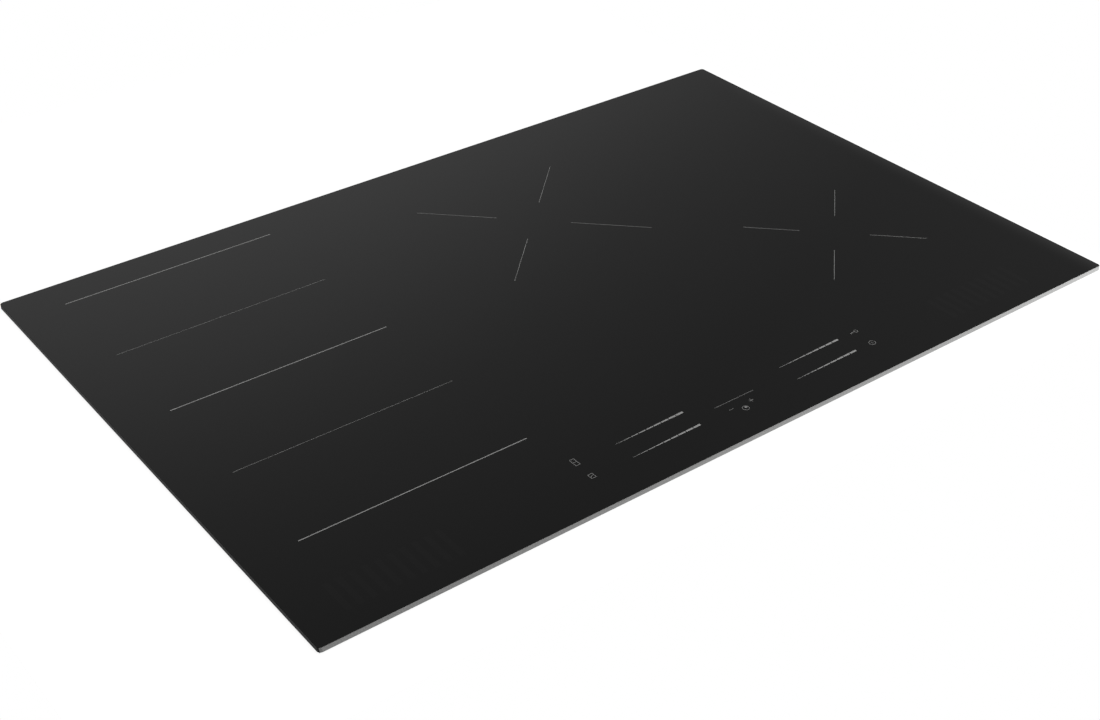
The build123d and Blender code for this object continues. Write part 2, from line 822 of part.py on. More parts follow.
# Heat sinks: extruded aluminium combs in the air stream of the fans
sink_bottom = board_top + transistor_height
fin_pitch = (sink_width - sink_fin_thickness) / (sink_fins - 1)
with BuildPart() as heat_sinks:
    for x in fan_places.values():
        with BuildSketch(Plane((x, board_y, sink_bottom))):
            Rectangle(sink_width, sink_depth)
        extrude(amount=sink_base)
        with BuildSketch(Plane((x, board_y, sink_bottom + sink_base))):
            with GridLocations(fin_pitch, sink_depth, sink_fins, 1):
                Rectangle(sink_fin_thickness, sink_depth)
        extrude(amount=module_top - sink_bottom - sink_base)
save(heat_sinks, "heat_sinks")

# Film capacitors: a row of cased blocks beside each heat sink
with BuildPart() as film_capacitors:
    for side in (-1, 1):
        for y in along(capacitor_count, capacitor_pitch):
            with BuildSketch(Plane((side * (board_x - capacitor_offset), board_y + y, board_top))):
                RectangleRounded(capacitor_width, capacitor_depth, capacitor_fillet)
            extrude(amount=module_top - capacitor_top_gap - board_top)
    chamfer(film_capacitors.faces().group_by(Axis.Z)[-1].edges(), capacitor_fillet / 2)
save(film_capacitors, "film_capacitors")

# Filter choke: a wound ring core standing flat on the filter board
ring_middle = (choke_outer_radius + choke_inner_radius) / 2
ring_width = choke_outer_radius - choke_inner_radius
with BuildPart() as filter_choke:
    with BuildSketch(Plane((filter_x + choke_x, filter_y, board_top))):
        Circle(choke_outer_radius)
        Circle(choke_inner_radius, mode=Mode.SUBTRACT)
    extrude(amount=choke_height)
    with BuildSketch(Plane((filter_x + choke_x, filter_y, board_top))):
        with PolarLocations(ring_middle, choke_turns):
            SlotOverall(ring_width + 4 * choke_wire_radius, 2 * choke_wire_radius)
    extrude(amount=choke_height + choke_wire_radius)
save(filter_choke, "filter_choke")

# Touch controls: holder on the coil plate, board, and light guide just under the glass
guide_bottom = frame_top - sheet - touch_wall - touch_board_thickness
touch_board_top = guide_bottom
touch_board_bottom = touch_board_top - touch_board_thickness
with BuildPart() as touch_holder:
    with BuildSketch(Plane((touch_x, touch_y, plate_top))):
        Rectangle(touch_width, touch_depth)
        Rectangle(touch_width - 2 * touch_wall, touch_depth - 2 * touch_wall, mode=Mode.SUBTRACT)
    extrude(amount=touch_board_bottom - plate_top)
    with BuildSketch(Plane((touch_x, touch_y, plate_top))):
        Rectangle(touch_width, touch_depth)
    extrude(amount=touch_wall)
save(touch_holder, "touch_holder")

with BuildPart() as touch_board:
    with BuildSketch(Plane((touch_x, touch_y, touch_board_bottom))):
        Rectangle(touch_width, touch_depth)
    extrude(amount=touch_board_thickness)
save(touch_board, "touch_board")

guide_width = touch_width - 2 * light_guide_inset
light_guide_depth = 2 * (frame_depth / 2 - frame_flange - light_guide_gap + touch_y)
well_count = int((guide_width - light_guide_inset) / light_well_pitch)
with BuildPart() as light_guide:
    with BuildSketch(Plane((touch_x, touch_y, guide_bottom))):
        Rectangle(guide_width, light_guide_depth)
        with GridLocations(light_well_pitch, light_guide_depth / 2, well_count, 2):
            Circle(light_well_radius, mode=Mode.SUBTRACT)
    extrude(amount=mica_top - guide_bottom)
save(light_guide, "touch_light_guide")

# Terminal box: open at the bottom over the tray's opening, with holes for pin, gland and leads
box_top = floor_top + terminal_height
box_rear = terminal_y + terminal_depth / 2
pin_y = terminal_y + opening_depth / 2 - cover_pin_inset
pin_z = floor_bottom + cover_pin_rise
pin_length = terminal_width - terminal_wall
lead_rows = along(lead_count, lead_pitch)
with BuildPart() as terminal_box:
    with BuildSketch(Plane((terminal_x, terminal_y, floor_top))):
        Rectangle(terminal_width, terminal_depth)
    extrude(amount=terminal_height)
    with BuildSketch(Plane((terminal_x, terminal_y, floor_top))):
        Rectangle(terminal_width - 2 * terminal_wall, terminal_depth - 2 * terminal_wall)
    extrude(amount=terminal_height - terminal_wall, mode=Mode.SUBTRACT)
    with BuildSketch(Plane((terminal_x, pin_y, pin_z), z_dir=(1, 0, 0))):
        Circle(cover_pin_radius + cover_pin_hold)
    extrude(amount=(pin_length + cover_pin_hold) / 2, both=True, mode=Mode.SUBTRACT)
    with BuildSketch(Plane((terminal_x, box_rear, gland_z), z_dir=(0, 1, 0))):
        Circle(gland_hole_radius)
    extrude(amount=-2 * terminal_wall, mode=Mode.SUBTRACT)
    for row in lead_rows:
        lead_plane = Plane(
            (terminal_x + row, terminal_y - terminal_depth / 2, lead_z), z_dir=(0, -1, 0)
        )
        with BuildSketch(lead_plane):
            Circle(lead_radius + lead_hole_gap)
        extrude(amount=-2 * terminal_wall, mode=Mode.SUBTRACT)
save(terminal_box, "terminal_box")

# Terminal block on the roof of the box, its wells open downwards
block_top = box_top - terminal_wall
block_bottom = block_top - terminal_block_height
block_front = terminal_y - terminal_block_depth / 2
with BuildPart() as terminal_block:
    with BuildSketch(Plane((terminal_x, terminal_y, block_bottom))):
        Rectangle(terminal_block_width, terminal_block_depth)
    extrude(amount=terminal_block_height)
    with BuildSketch(Plane((terminal_x, terminal_y, block_bottom))):
        with GridLocations(terminal_pitch, terminal_block_depth, terminal_ways, 1):
            Circle(terminal_well_radius)
    extrude(amount=terminal_well_depth, mode=Mode.SUBTRACT)
save(terminal_block, "terminal_block")

# Terminal screws: slotted grub screws in the wells, turned from below
terminal_screw_face = block_bottom + terminal_well_depth - terminal_screw_length
with BuildPart() as terminal_screws:
    with BuildSketch(Plane((terminal_x, terminal_y, terminal_screw_face))):
        with GridLocations(terminal_pitch, terminal_block_depth, terminal_ways, 1):
            Circle(terminal_screw_radius)
    extrude(amount=terminal_screw_length)
    with BuildSketch(Plane((terminal_x, terminal_y, terminal_screw_face))):
        with GridLocations(terminal_pitch, terminal_block_depth, terminal_ways, 1):
            Rectangle(2 * (terminal_screw_radius + cut_margin), terminal_slot_width)
    extrude(amount=terminal_slot_depth, mode=Mode.SUBTRACT)
save(terminal_screws, "terminal_screws")

# Terminal cover: flap in the tray's opening, hung on a steel pin at its rear edge
cover_bottom = floor_bottom + cover_recess
cover_top = cover_bottom + cover_thickness
cover_front = terminal_y - opening_depth / 2 + cover_gap
cover_rear = pin_y + cover_heel
cover_width = opening_width - 2 * cover_gap
with BuildPart() as terminal_cover:
    with BuildSketch(Plane((terminal_x, (cover_front + cover_rear) / 2, cover_bottom))):
        Rectangle(cover_width, cover_rear - cover_front)
    extrude(amount=cover_thickness)
    for step in (-knuckle_spread, knuckle_spread):
        with BuildSketch(Plane((terminal_x + step, pin_y, pin_z), x_dir=(0, 1, 0), z_dir=(1, 0, 0))):
            Circle(knuckle_radius)
            with Locations((0, (cover_top - pin_z) / 2)):
                Rectangle(2 * knuckle_radius, pin_z - cover_top)
        extrude(amount=knuckle_width / 2, both=True)
    with BuildSketch(Plane((terminal_x, cover_front + latch_thickness / 2, cover_top))):
        Rectangle(latch_width, latch_thickness)
    extrude(amount=latch_height)
    with BuildSketch(Plane((terminal_x, pin_y, pin_z), z_dir=(1, 0, 0))):
        Circle(cover_pin_radius + running_play)
    extrude(amount=terminal_width, both=True, mode=Mode.SUBTRACT)
save(terminal_cover, "terminal_cover")

with BuildPart() as terminal_cover_pin:
    with BuildSketch(Plane((terminal_x, pin_y, pin_z), z_dir=(1, 0, 0))):
        Circle(cover_pin_radius)
    extrude(amount=pin_length / 2, both=True)
save(terminal_cover_pin, "terminal_cover_pin")

# Cable gland: rubber bush through the rear wall into the terminal box
gland_inner_y = box_rear - terminal_wall - gland_tail
gland_outer_y = tray_rear_y + gland_flange
with BuildPart() as cable_gland:
    with BuildSketch(Plane((terminal_x, gland_inner_y, gland_z), z_dir=(0, 1, 0))):
        Circle(gland_bore_radius + gland_wall)
    extrude(amount=gland_outer_y - gland_inner_y)
    with BuildSketch(Plane((terminal_x, tray_rear_y, gland_z), z_dir=(0, 1, 0))):
        Circle(gland_flange_radius)
    extrude(amount=gland_flange)
    with BuildSketch(Plane((terminal_x, gland_inner_y, gland_z), z_dir=(0, 1, 0))):
        Circle(gland_bore_radius)
    extrude(amount=gland_outer_y - gland_inner_y, mode=Mode.SUBTRACT)
save(cable_gland, "cable_gland")

# Mains leads: insulated wires from the terminal block to the filter board
filter_edge_x = filter_x + filter_width / 2
box_front = terminal_y - terminal_depth / 2
with BuildPart() as mains_leads:
    for row in lead_rows:
        with BuildLine() as route:
            FilletPolyline(
                (terminal_x + row, block_front, lead_z),
                (terminal_x + row, box_front - lead_turn_y - row, lead_z),
                (filter_edge_x - lead_run_in, box_front - lead_turn_y - row, lead_z),
                (filter_edge_x - lead_run_in, box_front - lead_turn_y - row, board_top),
                radius=lead_bend,
            )
        with BuildSketch(Plane(origin=route.line @ 0, z_dir=route.line % 0)):
            Circle(lead_radius)
        sweep(path=route.line)
save(mains_leads, "mains_leads")

# Worktop clamps: flat steel arms that swing out under the worktop, stored along the wall
clamp_top = ledge_bottom - clamp_below_ledge
clamp_bottom = clamp_top - clamp_thickness
for place, (x, y) in clamp_places.items():
    inward = -1 if y > 0 else 1
    arm_middle = inward * clamp_reach / 2
    tip_middle = inward * (clamp_reach - clamp_lip_length / 2)
    with BuildPart() as worktop_clamp:
        with BuildSketch(Plane((x, y, clamp_bottom))):
            Circle(clamp_width / 2)
            with Locations((0, arm_middle)):
                Rectangle(clamp_width, clamp_reach)
            Circle(clamp_screw_radius + clamp_screw_play, mode=Mode.SUBTRACT)
        extrude(amount=clamp_thickness)
        with BuildSketch(Plane((x, y, clamp_top))):
            with Locations((0, tip_middle)):
                Rectangle(clamp_width, clamp_lip_length)
        extrude(amount=clamp_lip)
    save(worktop_clamp, f"worktop_clamp_{place}")

with BuildPart() as clamp_screws:
    for x, y in clamp_places.values():
        with BuildSketch(Plane((x, y, clamp_bottom - clamp_head_gap))):
            RegularPolygon(clamp_head_radius, 6, major_radius=False)
        extrude(amount=-clamp_head_height)
        with BuildSketch(Plane((x, y, clamp_bottom - clamp_head_gap))):
            Circle(clamp_screw_radius)
        extrude(amount=ledge_top + clamp_nut_height - clamp_bottom + clamp_head_gap)
save(clamp_screws, "clamp_screws")
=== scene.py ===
import bmesh
import bpy
import math
from mathutils import Matrix, Vector


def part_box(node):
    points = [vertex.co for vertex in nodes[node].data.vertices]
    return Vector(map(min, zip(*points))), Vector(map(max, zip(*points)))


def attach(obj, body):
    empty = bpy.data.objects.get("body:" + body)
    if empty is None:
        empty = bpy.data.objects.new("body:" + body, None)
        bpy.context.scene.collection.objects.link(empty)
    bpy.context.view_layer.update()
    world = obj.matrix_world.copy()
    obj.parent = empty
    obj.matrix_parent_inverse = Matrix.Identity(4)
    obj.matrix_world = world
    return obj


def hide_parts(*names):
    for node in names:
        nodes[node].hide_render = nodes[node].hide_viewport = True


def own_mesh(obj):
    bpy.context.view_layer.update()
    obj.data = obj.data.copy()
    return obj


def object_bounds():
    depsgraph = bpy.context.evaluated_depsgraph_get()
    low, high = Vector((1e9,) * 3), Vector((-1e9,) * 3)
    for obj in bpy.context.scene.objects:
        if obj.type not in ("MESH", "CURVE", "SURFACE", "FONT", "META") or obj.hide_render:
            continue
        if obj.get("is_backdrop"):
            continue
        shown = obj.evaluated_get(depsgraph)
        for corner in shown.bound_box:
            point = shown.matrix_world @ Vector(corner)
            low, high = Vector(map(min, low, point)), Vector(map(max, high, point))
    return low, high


# A drop-in induction hob with a black glass plate, put together from its casing upwards.
# Sizes are in metres, in the frame of the CAD model: +X right, +Y back, +Z up, worktop at zero.
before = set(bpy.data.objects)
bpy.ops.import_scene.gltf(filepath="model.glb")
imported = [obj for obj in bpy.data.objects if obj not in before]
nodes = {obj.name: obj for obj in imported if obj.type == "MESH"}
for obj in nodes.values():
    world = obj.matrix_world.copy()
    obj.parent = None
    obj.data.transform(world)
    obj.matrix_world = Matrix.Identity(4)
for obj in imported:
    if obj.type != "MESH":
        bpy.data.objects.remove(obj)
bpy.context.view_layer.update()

# Base tray: one sheet of hot-dip galvanised steel, drawn and folded into a stepped pan, with
# punched air slots. It hangs through the cut-out of the worktop.
MM = 0.001


def linear(hex_colour):
    """The linear colour of an sRGB hex value such as "#b4b9bc"."""
    parts = [int(hex_colour[i : i + 2], 16) / 255 for i in (1, 3, 5)]
    return [c / 12.92 if c <= 0.04045 else ((c + 0.055) / 1.055) ** 2.4 for c in parts] + [1.0]


def add(tree, kind, settings=None, links=None):
    """Adds a shader node with its settings, sockets or colour stops, and links outputs into it."""
    node = tree.nodes.new("ShaderNode" + kind)
    for key, value in (settings or {}).items():
        if key == "stops":
            first, last = node.color_ramp.elements
            first.position, first.color = value[0][0], linear(value[0][1])
            last.position, last.color = value[-1][0], linear(value[-1][1])
            for place, colour in value[1:-1]:
                node.color_ramp.elements.new(place).color = linear(colour)
        elif isinstance(key, int) or key in node.inputs:
            node.inputs[key].default_value = value
        else:
            setattr(node, key, value)
    for key, source in (links or {}).items():
        tree.links.new(source, node.inputs[key])
    return node


def new_material(name):
    """An empty material with its node tree and the coordinates of the piece, in metres."""
    material = bpy.data.materials.new(name)
    material.use_nodes = True
    material.node_tree.nodes.clear()
    return material, material.node_tree, add(material.node_tree, "TexCoord").outputs["Object"]


def surface(tree, settings, links):
    """Ends a material: one shader, with its constants on its sockets and its patterns linked."""
    shader = add(tree, "BsdfPrincipled", settings, links)
    add(tree, "OutputMaterial", None, {"Surface": shader.outputs["BSDF"]})


def dress(material, *names):
    """Gives CAD nodes their finish."""
    for name in names:
        nodes[name].data.materials.clear()
        nodes[name].data.materials.append(material)


def galvanised_steel():
    """Zinc-coated sheet: the zinc's crystals show as a mottle of pale, finely feathered facets."""
    spangle, warp, feather, grain = 6 * MM, 4 * MM, 0.9 * MM, 0.5 * MM
    material, tree, place = new_material("galvanised_steel")
    drift = add(tree, "TexNoise", {"Scale": 1 / warp, "Detail": 2.0}, {"Vector": place})
    bent = add(
        tree,
        "VectorMath",
        {"operation": "MULTIPLY_ADD", 1: (spangle / 3,) * 3},
        {0: drift.outputs["Color"], 2: place},
    )
    crystals = add(tree, "TexVoronoi", {"Scale": 1 / spangle}, {"Vector": bent.outputs["Vector"]})
    fern = add(tree, "TexNoise", {"Scale": 1 / feather, "Detail": 3.0}, {"Vector": place})
    facet = add(
        tree,
        "MixRGB",
        {"Fac": 0.45},
        {"Color1": crystals.outputs["Color"], "Color2": fern.outputs["Fac"]},
    )
    colour = add(
        tree,
        "ValToRGB",
        {"stops": [(0.25, "#a3a8ab"), (0.75, "#bfc3c5")]},
        {"Fac": facet.outputs["Color"]},
    )
    gloss = add(
        tree, "MapRange", {"To Min": 0.34, "To Max": 0.52}, {"Value": facet.outputs["Color"]}
    )
    pits = add(tree, "TexNoise", {"Scale": 1 / grain, "Detail": 3.0}, {"Vector": place})
    bump = add(
        tree, "Bump", {"Strength": 0.12, "Distance": 0.05 * MM}, {"Height": pits.outputs["Fac"]}
    )
    surface(
        tree,
        {"Metallic": 1.0},
        {
            "Base Color": colour.outputs["Color"],
            "Roughness": gloss.outputs["Result"],
            "Normal": bump.outputs["Normal"],
        },
    )
    return material


galvanised = galvanised_steel()
dress(galvanised, "base_tray")

# Standoffs, pillars and screws: turned and cold-headed steel with a bright zinc plating.
# The standoffs are clinched into the tray, and the screws hold what stands on them.


def zinc_plated_steel():
    """Bright zinc plating: silvery, with a faint blue cast and a slightly uneven gloss."""
    cast, haze = 5 * MM, 0.6 * MM
    material, tree, place = new_material("zinc_plated_steel")
    tint = add(tree, "TexNoise", {"Scale": 1 / cast, "Detail": 2.0}, {"Vector": place})
    colour = add(
        tree,
        "ValToRGB",
        {"stops": [(0.35, "#b9bfc6"), (0.65, "#cfcfc8")]},
        {"Fac": tint.outputs["Fac"]},
    )
    cloud = add(tree, "TexNoise", {"Scale": 1 / haze, "Detail": 4.0}, {"Vector": place})
    gloss = add(tree, "MapRange", {"To Min": 0.2, "To Max": 0.44}, {"Value": cloud.outputs["Fac"]})
    bump = add(
        tree, "Bump", {"Strength": 0.08, "Distance": 0.03 * MM}, {"Height": cloud.outputs["Fac"]}
    )
    surface(
        tree,
        {"Metallic": 1.0},
        {
            "Base Color": colour.outputs["Color"],
            "Roughness": gloss.outputs["Result"],
            "Normal": bump.outputs["Normal"],
        },
    )
    return material


zinc_plated = zinc_plated_steel()
dress(zinc_plated, "plate_standoffs", "board_standoffs", "casing_screws", "coil_guide_screws")

# Mains connection: a moulded polyamide box with its terminal block and hinged cover, a rubber
# gland in the rear wall, and three insulated leads to the filter board.


def moulded_plastic(name, dark, pale, roughness, grain):
    """Moulded plastic: an even colour with slow flow marks and the fine grain of the mould.

    The grain is drawn a little coarser than a mould's, so that it shows.
    """
    flow = 14 * MM
    gloss_spread = 0.06
    material, tree, place = new_material(name)
    marks = add(tree, "TexNoise", {"Scale": 1 / flow, "Detail": 2.0}, {"Vector": place})
    colour = add(
        tree, "ValToRGB", {"stops": [(0.3, dark), (0.7, pale)]}, {"Fac": marks.outputs["Fac"]}
    )
    eroded = add(tree, "TexNoise", {"Scale": 1 / grain, "Detail": 2.0}, {"Vector": place})
    gloss = add(
        tree,
        "MapRange",
        {"To Min": roughness - gloss_spread, "To Max": roughness + gloss_spread},
        {"Value": eroded.outputs["Fac"]},
    )
    bump = add(
        tree, "Bump", {"Strength": 0.2, "Distance": 0.05 * MM}, {"Height": eroded.outputs["Fac"]}
    )
    surface(
        tree,
        {"IOR": 1.53},
        {
            "Base Color": colour.outputs["Color"],
            "Roughness": gloss.outputs["Result"],
            "Normal": bump.outputs["Normal"],
        },
    )
    return material


polyamide = moulded_plastic("polyamide_pale_grey", "#cfcfc9", "#dadad5", 0.5, 0.35 * MM)
dress(polyamide, "terminal_box", "terminal_cover")
dress(moulded_plastic("polyamide_white", "#dedcd4", "#e8e6df", 0.45, 0.35 * MM), "terminal_block")
dress(zinc_plated, "terminal_screws", "terminal_cover_pin")
dress(moulded_plastic("nitrile_rubber", "#262627", "#303031", 0.72, 0.5 * MM), "cable_gland")


def paint_faces(name, finishes, choose):
    """Gives each face of a CAD node the finish that choose(face) counts off from the list."""
    mesh = nodes[name].data
    mesh.materials.clear()
    for finish in finishes:
        mesh.materials.append(finish)
    for face in mesh.polygons:
        face.material_index = choose(face)


lead_low, lead_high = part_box("mains_leads")
lead_radius = 1.6 * MM
lead_pitch = 5.0 * MM
lead_colours = [("brown", "#5f3a20", "#6c4527"), ("blue", "#2a5c9a", "#3468a8")]
lead_finishes = [
    moulded_plastic(f"insulation_{name}", dark, pale, 0.42, 0.6 * MM)
    for name, dark, pale in lead_colours + [("green", "#4b8a36", "#d6c530")]
]


def lead_of(face):
    """Which lead a face is on, counted from the outer one: all three turn a corner side by side."""
    from_right = (lead_high.x - lead_radius - face.center.x) / lead_pitch
    from_front = (face.center.y - lead_low.y - lead_radius) / lead_pitch
    return min(2, max(0, round(min(from_right, from_front))))


paint_faces("mains_leads", lead_finishes, lead_of)

# Power electronics: fibreglass boards with a green solder mask, moulded transistors under
# extruded aluminium heat sinks, cased film capacitors and a wound ring choke.


def solder_masked_board():
    """Green lacquer over etched copper: lighter tracks run along and across, with tinned pads."""
    track_long, track_step, track_width = 18 * MM, 2.4 * MM, 0.5 * MM
    pad_step, pad_radius = 5 * MM, 0.8 * MM
    material, tree, place = new_material("solder_masked_laminate")
    turned = add(
        tree,
        "VectorRotate",
        {"rotation_type": "Z_AXIS", "Angle": math.pi / 2},
        {"Vector": place},
    )
    tracks = []
    for source in (place, turned.outputs["Vector"]):
        bricks = add(
            tree,
            "TexBrick",
            {
                "Scale": 1.0,
                "Brick Width": track_long,
                "Row Height": track_step,
                "Mortar Size": track_width / 2,
                "Color1": linear("#000000"),
                "Color2": linear("#000000"),
                "Mortar": linear("#ffffff"),
            },
            {"Vector": source},
        )
        tracks.append(bricks.outputs["Color"])
    patchwork = add(tree, "TexVoronoi", {"Scale": 1 / (2 * track_long)}, {"Vector": place})
    choice = add(
        tree, "Math", {"operation": "GREATER_THAN", 1: 0.5}, {0: patchwork.outputs["Color"]}
    )
    track = add(
        tree, "MixRGB", None, {"Fac": choice.outputs[0], "Color1": tracks[0], "Color2": tracks[1]}
    )
    mask = add(
        tree,
        "MixRGB",
        {"Color1": linear("#1d5a38"), "Color2": linear("#2f7d50")},
        {"Fac": track.outputs["Color"]},
    )
    pads = add(tree, "TexVoronoi", {"Scale": 1 / pad_step, "Randomness": 0.7}, {"Vector": place})
    tinned = add(
        tree,
        "Math",
        {"operation": "LESS_THAN", 1: pad_radius / pad_step},
        {0: pads.outputs["Distance"]},
    )
    colour = add(
        tree,
        "MixRGB",
        {"Color2": linear("#c9cbc8")},
        {"Fac": tinned.outputs[0], "Color1": mask.outputs["Color"]},
    )
    bump = add(
        tree, "Bump", {"Strength": 0.4, "Distance": 0.05 * MM}, {"Height": track.outputs["Color"]}
    )
    surface(
        tree,
        {"Roughness": 0.32, "IOR": 1.55},
        {
            "Base Color": colour.outputs["Color"],
            "Metallic": tinned.outputs[0],
            "Normal": bump.outputs["Normal"],
        },
    )
    return material


laminate = solder_masked_board()
dress(laminate, "power_boards", "filter_board")
epoxy = moulded_plastic("moulded_epoxy", "#1f1f20", "#262627", 0.55, 0.3 * MM)
dress(epoxy, "power_transistors")
polyester = moulded_plastic("polyester_case_blue", "#2c4b80", "#345690", 0.3, 1.2 * MM)
dress(polyester, "film_capacitors")


def drawn_aluminium(name, along, dark, pale):
    """Rolled or extruded aluminium: pale metal with fine streaks along the way it was drawn.

    The streaks are drawn coarser than real ones, so that they show.
    """
    streak_length, streak_width = 70 * MM, 0.7 * MM
    material, tree, place = new_material(name)
    scales = [1 / streak_width] * 3
    scales[along] = 1 / streak_length
    drawn = add(tree, "VectorMath", {"operation": "MULTIPLY", 1: scales}, {0: place})
    streaks = add(
        tree, "TexNoise", {"Scale": 1.0, "Detail": 4.0}, {"Vector": drawn.outputs["Vector"]}
    )
    colour = add(
        tree, "ValToRGB", {"stops": [(0.3, dark), (0.7, pale)]}, {"Fac": streaks.outputs["Fac"]}
    )
    gloss = add(
        tree, "MapRange", {"To Min": 0.26, "To Max": 0.46}, {"Value": streaks.outputs["Fac"]}
    )
    bump = add(
        tree, "Bump", {"Strength": 0.1, "Distance": 0.03 * MM}, {"Height": streaks.outputs["Fac"]}
    )
    surface(
        tree,
        {"Metallic": 1.0},
        {
            "Base Color": colour.outputs["Color"],
            "Roughness": gloss.outputs["Result"],
            "Normal": bump.outputs["Normal"],
        },
    )
    return material


dress(drawn_aluminium("extruded_aluminium", 1, "#bfc3c6", "#d5d8da"), "heat_sinks")


def enamelled_copper(name, wire, centre, lay, ridge=1.0):
    """Copper wire under clear enamel: warm brown-red, with the wires showing as parallel ridges and
    the grooves between them painted darker, as painted shade.

    The ridges follow the winding: lay counts how many cross a full turn about the centre. A single
    thick wire has no ridge.
    """
    material, tree, place = new_material(name)
    local = add(
        tree, "VectorMath", {"operation": "SUBTRACT", 1: (centre.x, centre.y, 0.0)}, {0: place}
    )
    axes = add(tree, "SeparateXYZ", None, {"Vector": local.outputs["Vector"]})
    angle = add(
        tree, "Math", {"operation": "ARCTAN2"}, {0: axes.outputs["Y"], 1: axes.outputs["X"]}
    )
    radius = add(tree, "VectorMath", {"operation": "LENGTH"}, {0: local.outputs["Vector"]})
    twist = add(tree, "Math", {"operation": "MULTIPLY", 1: float(lay)}, {0: angle.outputs[0]})
    phase = add(
        tree,
        "Math",
        {"operation": "MULTIPLY_ADD", 1: 2 * math.pi / wire},
        {0: radius.outputs["Value"], 2: twist.outputs[0]},
    )
    wave = add(tree, "Math", {"operation": "SINE"}, {0: phase.outputs[0]})
    height = add(
        tree, "MapRange", {"From Min": -1.0, "To Min": 1.0 - ridge}, {"Value": wave.outputs[0]}
    )
    tint = add(tree, "TexNoise", {"Scale": 1 / (4 * wire), "Detail": 2.0}, {"Vector": place})
    # Painted shade: the colour darkens into the grooves between the wires; the noise tint is the
    # copper's own uneven tone.
    shade = add(
        tree,
        "Math",
        {"operation": "MULTIPLY"},
        {0: height.outputs["Result"], 1: tint.outputs["Fac"]},
    )
    colour = add(
        tree,
        "ValToRGB",
        {"stops": [(0.0, "#6e3a20"), (0.3, "#b06a42"), (0.7, "#cf8f63")]},
        {"Fac": shade.outputs[0]},
    )
    bump = add(
        tree, "Bump", {"Strength": 0.6, "Distance": 0.2 * MM}, {"Height": height.outputs["Result"]}
    )
    surface(
        tree,
        {"Metallic": 0.85, "Roughness": 0.3, "Coat Weight": 0.4, "Coat Roughness": 0.15},
        {"Base Color": colour.outputs["Color"], "Normal": bump.outputs["Normal"]},
    )
    return material


choke_low, choke_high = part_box("filter_choke")
choke_centre = (choke_low + choke_high) / 2
choke_turns = 20
choke_wire = 1.4 * MM
turn_reach = 1.02 * choke_wire
choke_finishes = [
    moulded_plastic("core_lacquer", "#5b5f52", "#666a5c", 0.5, 0.6 * MM),
    enamelled_copper("choke_wire", 2 * choke_wire, choke_centre, 0, ridge=0.0),
]


def wire_or_core(face):
    """1 on a turn of the choke's wire, 0 on its lacquered core, told by the way round the ring."""
    x, y = face.center.x - choke_centre.x, face.center.y - choke_centre.y
    step = 2 * math.pi / choke_turns
    off = (math.atan2(y, x) + step / 2) % step - step / 2
    return int(abs(math.hypot(x, y) * math.sin(off)) < turn_reach)


paint_faces("filter_choke", choke_finishes, wire_or_core)

# Fans: scroll housings and bladed rotors moulded in black polyester, each with a motor whose
# copper windings hang from the roof of the housing inside the rotor's cup.
polyester_black = moulded_plastic("polyester_black", "#232325", "#2b2b2d", 0.48, 0.35 * MM)
motor_wire = 0.9 * MM
motor_finishes = []
for side in ("left", "right"):
    dress(polyester_black, f"fan_housing_{side}", f"fan_impeller_{side}")
    low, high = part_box(f"fan_impeller_{side}")
    motor_finishes.append(enamelled_copper(f"motor_wire_{side}", motor_wire, (low + high) / 2, 0))
paint_faces("fan_motors", motor_finishes, lambda face: int(face.center.x > 0))

# Coil plate: a flat sheet of mill-finish aluminium that carries the coils and shields the
# electronics below, with slots for the air at its front corners.
dress(drawn_aluminium("rolled_aluminium", 0, "#c2c5c8", "#d8dadc"), "coil_plate")

# Coils: on each carrier of glass-filled plastic lies a flat winding of stranded copper, with
# ferrite bars under it, a mica sheet on top and a temperature sensor in the middle.
carrier_plastic = moulded_plastic("glass_filled_polyester", "#2a2a2b", "#353536", 0.6, 0.25 * MM)
sensor_silicone = moulded_plastic("sensor_silicone", "#d2cfc6", "#dcdad2", 0.62, 0.8 * MM)


def sintered_ferrite():
    """Pressed and fired iron oxide: charcoal grey and dull, with open pores whose insides are
    painted dark, as painted shade.
    """
    pore = 1.1 * MM
    material, tree, place = new_material("sintered_ferrite")
    pores = add(tree, "TexVoronoi", {"Scale": 1 / pore}, {"Vector": place})
    # Painted shade: the ramp darkens the pits where the bump sinks in.
    colour = add(
        tree,
        "ValToRGB",
        {"stops": [(0.1, "#242527"), (0.3, "#45464a"), (1.0, "#4d4e52")]},
        {"Fac": pores.outputs["Distance"]},
    )
    bump = add(
        tree,
        "Bump",
        {"Strength": 0.3, "Distance": 0.1 * MM},
        {"Height": pores.outputs["Distance"]},
    )
    surface(
        tree,
        {"Roughness": 0.58, "IOR": 1.8},
        {"Base Color": colour.outputs["Color"], "Normal": bump.outputs["Normal"]},
    )
    return material


def pressed_mica():
    """Flakes of mica pressed to a sheet: amber-grey scales that glint at different angles."""
    flake = 2.6 * MM
    material, tree, place = new_material("pressed_mica")
    scales = add(tree, "TexVoronoi", {"Scale": 1 / flake}, {"Vector": place})
    colour = add(
        tree,
        "ValToRGB",
        {"stops": [(0.1, "#aa9e86"), (0.5, "#b6ab95"), (0.9, "#c2b9a6")]},
        {"Fac": scales.outputs["Color"]},
    )
    gloss = add(
        tree, "MapRange", {"To Min": 0.25, "To Max": 0.55}, {"Value": scales.outputs["Color"]}
    )
    bump = add(
        tree, "Bump", {"Strength": 0.2, "Distance": 0.05 * MM}, {"Height": scales.outputs["Color"]}
    )
    surface(
        tree,
        {"IOR": 1.58},
        {
            "Base Color": colour.outputs["Color"],
            "Roughness": gloss.outputs["Result"],
            "Normal": bump.outputs["Normal"],
        },
    )
    return material


